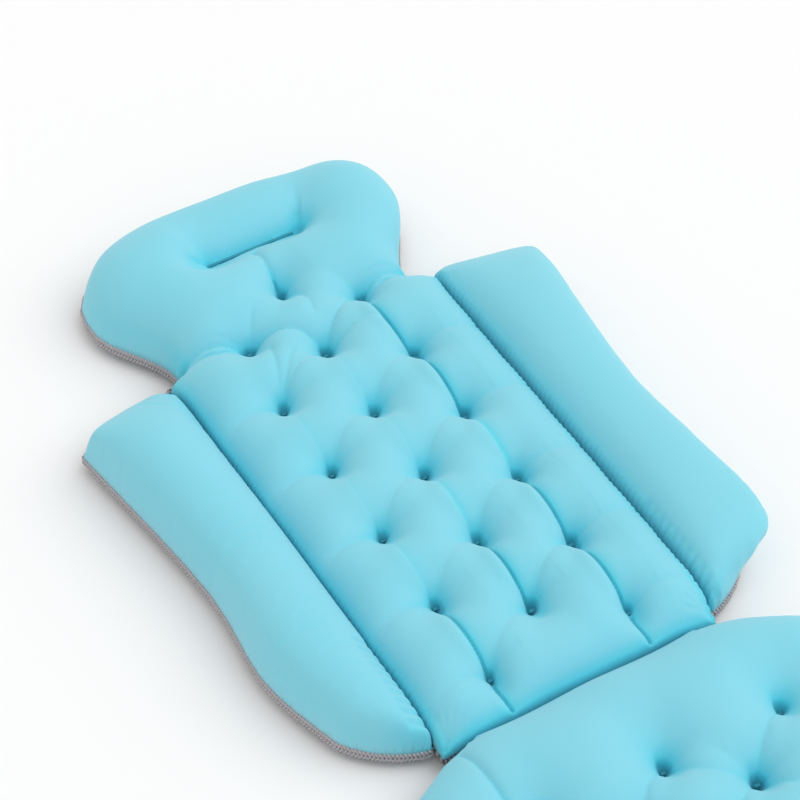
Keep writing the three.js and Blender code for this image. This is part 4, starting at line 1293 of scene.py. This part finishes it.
PRESS_FADE = 0.010


def press(cover, creases, floor=RIM_LEVEL):
    """Presses creases into a cover where it lies above a floor. A crease is a curve, its depth,
    its width and its power."""
    places = points_of(cover)
    free = ease((places[:, 2] - floor) / PRESS_FADE)
    for curve, depth, width, power in creases:
        reach = 4 * width
        low, high = curve.min(0) - reach, curve.max(0) + reach
        near = np.flatnonzero(((places[:, :2] > low) & (places[:, :2] < high)).all(1))
        share = np.exp(-((curve_distance(places[near, :2], curve) / width) ** power))
        places[near, 2] -= depth * share * free[near]
    set_points(cover, places)


LIP_START, LIP_END = 0.006, 0.013
LIP_DEPTH = 0.0034
LIP_WIDTH = 0.0080


def lip_below(spot):
    """The crease that flattens the lip below a tuft."""
    return bowed(spot - (0, LIP_START), spot - (0, LIP_END), 0), LIP_DEPTH, LIP_WIDTH, 2


def tuft_fold(spot):
    """The short fold that runs down into a tuft."""
    return bowed(spot + (-0.001, 0.016), spot - (0, 0.004), 0.001), 0.0050, 0.012


FOLD_REACH = 0.03
FOLD_WALL = 0.0016
FOLD_SLOPE = 0.0095
FOLD_FOOT = 0.004
FOLD_HANG = 0.18
HANG_AT, HANG_WIDTH = 0.007, 0.006
FOLD_SHADE_FLAT = 0.002
FOLD_SHADE_SLOPE = 0.0035
FOLD_SHADE_DEPTH = 0.005


def fold_over(cover, folds):
    """Folds the fabric along lines that run down the back: steep on the left, where the puff hangs
    over, with a long slope on the right. A fold is a curve from its top, its depth and the length
    over which it fades in. Along the foot of each fold, where the fabric lies on itself, a painted
    shade is noted on its points."""
    places = points_of(cover)
    shade = np.zeros(len(places))
    for curve, depth, entry in folds:
        low, high = curve.min(0) - FOLD_REACH, curve.max(0) + FOLD_REACH
        near = np.flatnonzero(((places[:, :2] > low) & (places[:, :2] < high)).all(1))
        x, y = places[near, 0], places[near, 1]
        aside = x - np.interp(y, curve[::-1, 1], curve[::-1, 0])
        across = np.exp(-np.where(aside > 0, aside / FOLD_SLOPE, -aside / FOLD_WALL))
        hang = FOLD_HANG * np.exp(-(((aside + HANG_AT) / HANG_WIDTH) ** 2))
        along = ease((curve[0, 1] - y) / entry) * ease((y - curve[-1, 1]) / FOLD_FOOT)
        places[near, 2] += depth * along * (hang - across)
        # Painted shade along the foot of each fold, where the fabric lies on itself.
        beyond = np.maximum(aside - FOLD_SHADE_FLAT, 0) / FOLD_SHADE_SLOPE
        fold_shade = np.exp(-np.where(aside > 0, beyond, -aside / FOLD_WALL))
        shade[near] = np.maximum(shade[near], along * fold_shade * min(1, depth / FOLD_SHADE_DEPTH))
    set_points(cover, places)
    marks = cover.data.attributes.new("fold_shade", "FLOAT", "POINT")
    marks.data.foreach_set("value", shade)


# The creases of the back: down the columns, arcs across, faint double arcs out to the seams, the
# neck fold, and gathers where the waist seam ends.
TUFT_BOW = 0.0030
back_creases = []
back_folds = []
for x, depths in (
    (-0.064, (0.0005, 0.0005, 0.0010, 0.0060)),
    (0.0, (0.0005, 0.0005, 0.0020, 0.0085)),
    (0.064, (0.0085, 0.0030, 0.0085, 0.0075)),
):
    column = back_tufts[np.abs(back_tufts[:, 0] - x) < 0.01]
    column = column[np.argsort(-column[:, 1])]
    for upper, lower, depth in zip(column, column[1:], depths):
        back_folds.append((bowed(upper, lower, TUFT_BOW), depth, 0.006))
    back_folds += [tuft_fold(spot) for spot in column]
    if x:
        waist_spot = (column[-1, 0], WAIST_Y)
        back_folds.append((bowed(column[-1], waist_spot, TUFT_BOW), 0.0060, 0.006))
        for y in column[:, 1]:
            for drop, bow, depth in ((0.004, 0.004, 0.0016), (0.012, 0.006, 0.0010)):
                seam_spot = (math.copysign(SEAM_X - 0.004, x), y - drop)
                arc = bowed((x, y), seam_spot, -math.copysign(bow, x))
                back_creases.append((arc, depth, 0.0026, 1))
for upper, lower in back_pairs:
    if lower[0] < upper[0] and upper[1] < back_top - 0.03:
        depth = 0.0024 + 0.0016 * noise.noise((upper[0] * 40, upper[1] * 40, 7.0))
        back_creases.append((bowed(upper, lower, 0.006), depth, 0.0055, 1))
        back_creases.append((bowed(upper, lower, 0.011), 0.35 * depth, 0.0026, 1))
for side, neck_tuft, neck_spot in neck_sides:
    back_creases.append((bowed(neck_tuft, neck_spot, -side * 0.006), 0.0070, 0.0040, 1))
    back_creases.append((bowed(neck_tuft, neck_spot, -side * 0.012), 0.0018, 0.0026, 1))
    for k in range(4):
        start = (side * (SEAM_X - 0.004), WAIST_Y + 0.003)
        turn = math.radians(100 + 18 * k)
        end = (start[0] + side * 0.022 * math.cos(turn), start[1] + 0.022 * math.sin(turn))
        back_creases.append((bowed(start, end, 0.001), 0.0014, 0.0018, 1))
first_middle = (0.0, 0.2806)
for start, end, bow, depth, width in (
    (neck_tufts[0], first_middle, -0.0147, 0.0045, 0.0045),
    (first_middle, neck_tufts[1], -0.0050, 0.0045, 0.0045),
    ((0.004, 0.276), (0.058, 0.238), -0.0300, 0.0022, 0.0035),
    ((0.002, 0.411), head_tufts[0], -0.0013, 0.0045, 0.0045),
    (head_tufts[0], (0.008, 0.316), -0.0075, 0.0025, 0.0040),
    ((-0.043, 0.299), (-0.063, 0.246), -0.0011, 0.0030, 0.0035),
    ((-0.030, 0.284), (-0.060, 0.246), 0.0011, 0.0024, 0.0030),
):
    back_creases.append((bowed(start, end, bow), depth, width, 1))
back_creases.append((slit_line, 0.0025, 0.0030, 1))
back_folds.append((bowed(neck_tufts[1], (0.064, 0.240), 0.0060), 0.0080, 0.006))
for spot in neck_tufts:
    back_folds.append((bowed(spot + (-0.001, 0.012), spot - (0, 0.003), 0.001), 0.0040, 0.010))
back_folds.append((bowed((0.0, 0.392), head_tufts[0] - (0, 0.003), -0.001), 0.0060, 0.022))
press(head_back, [lip_below(spot) for spot in back_spots], floor=STITCH_LEVEL)
press(head_back, [(slit_line - (0, 0.012), 0.0055, 0.0095, 2)], floor=STITCH_LEVEL)
press(head_back, back_creases)
fold_over(head_back, back_folds)
seat_creases = []
for first, second in neighbours(seat_tufts, TUFT_REACH):
    seat_creases.append((bowed(first, second, 0.005), 0.0030, 0.0050, 1))
seat_creases.append((bowed((-0.124, -0.140), (-0.123, -0.215), 0.0), 0.0050, 0.0035, 1))
press(seat, [lip_below(spot) for spot in seat_tufts], floor=STITCH_LEVEL)
press(seat, seat_creases)
fold_over(seat, [tuft_fold(spot) for spot in seat_tufts])

# The bolsters' seams are gathered below the middle of the back, and faint arcs run across the
# left roll.
PUCKER_STEP = 0.0094
for body, cover in bolsters.items():
    side = -1 if body == "left_bolster" else 1
    creases = []
    for k in range(11):
        y = -0.012 - PUCKER_STEP * k
        reach = 0.013 if side < 0 else 0.006
        start, end = (side * SEAM_X, y), (side * (SEAM_X + reach), y + 0.002)
        creases.append((bowed(start, end, 0.0), 0.0042, 0.0026, 1.5))
    if side < 0:
        for k in range(12):
            y = 0.150 - 0.017 * k + 0.006 * math.sin(5.0 * k)
            reach = 0.046 + 0.014 * math.sin(3.0 * k)
            arc = bowed((-0.138, y), (-0.138 - reach, y + 0.006), 0.004)
            creases.append((arc, 0.0007, 0.0030, 2))
        creases.append((bowed((-0.166, 0.300), (-0.133, 0.258), -0.004), 0.0020, 0.0030, 1))
        creases.append((bowed((-0.160, 0.312), (-0.133, 0.270), -0.004), 0.0014, 0.0026, 1))
    press(cover, creases)

# Each cover takes its painted shade, is closed underneath and is given its fabric.
for cover in covers:
    mark_hollows(cover, *rims[cover])
    close_under(cover)
    cover.data.materials.append(aqua_fabric)
bend(head_back, "head")
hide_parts("head_cover", "head_fill", "back_cover", "back_fill")
for body, cover in bolsters.items():
    bend(cover, body)
    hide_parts(body + "_cover", body + "_fill")
bend(seat, "seat")
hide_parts("seat_cover", "seat_fill")
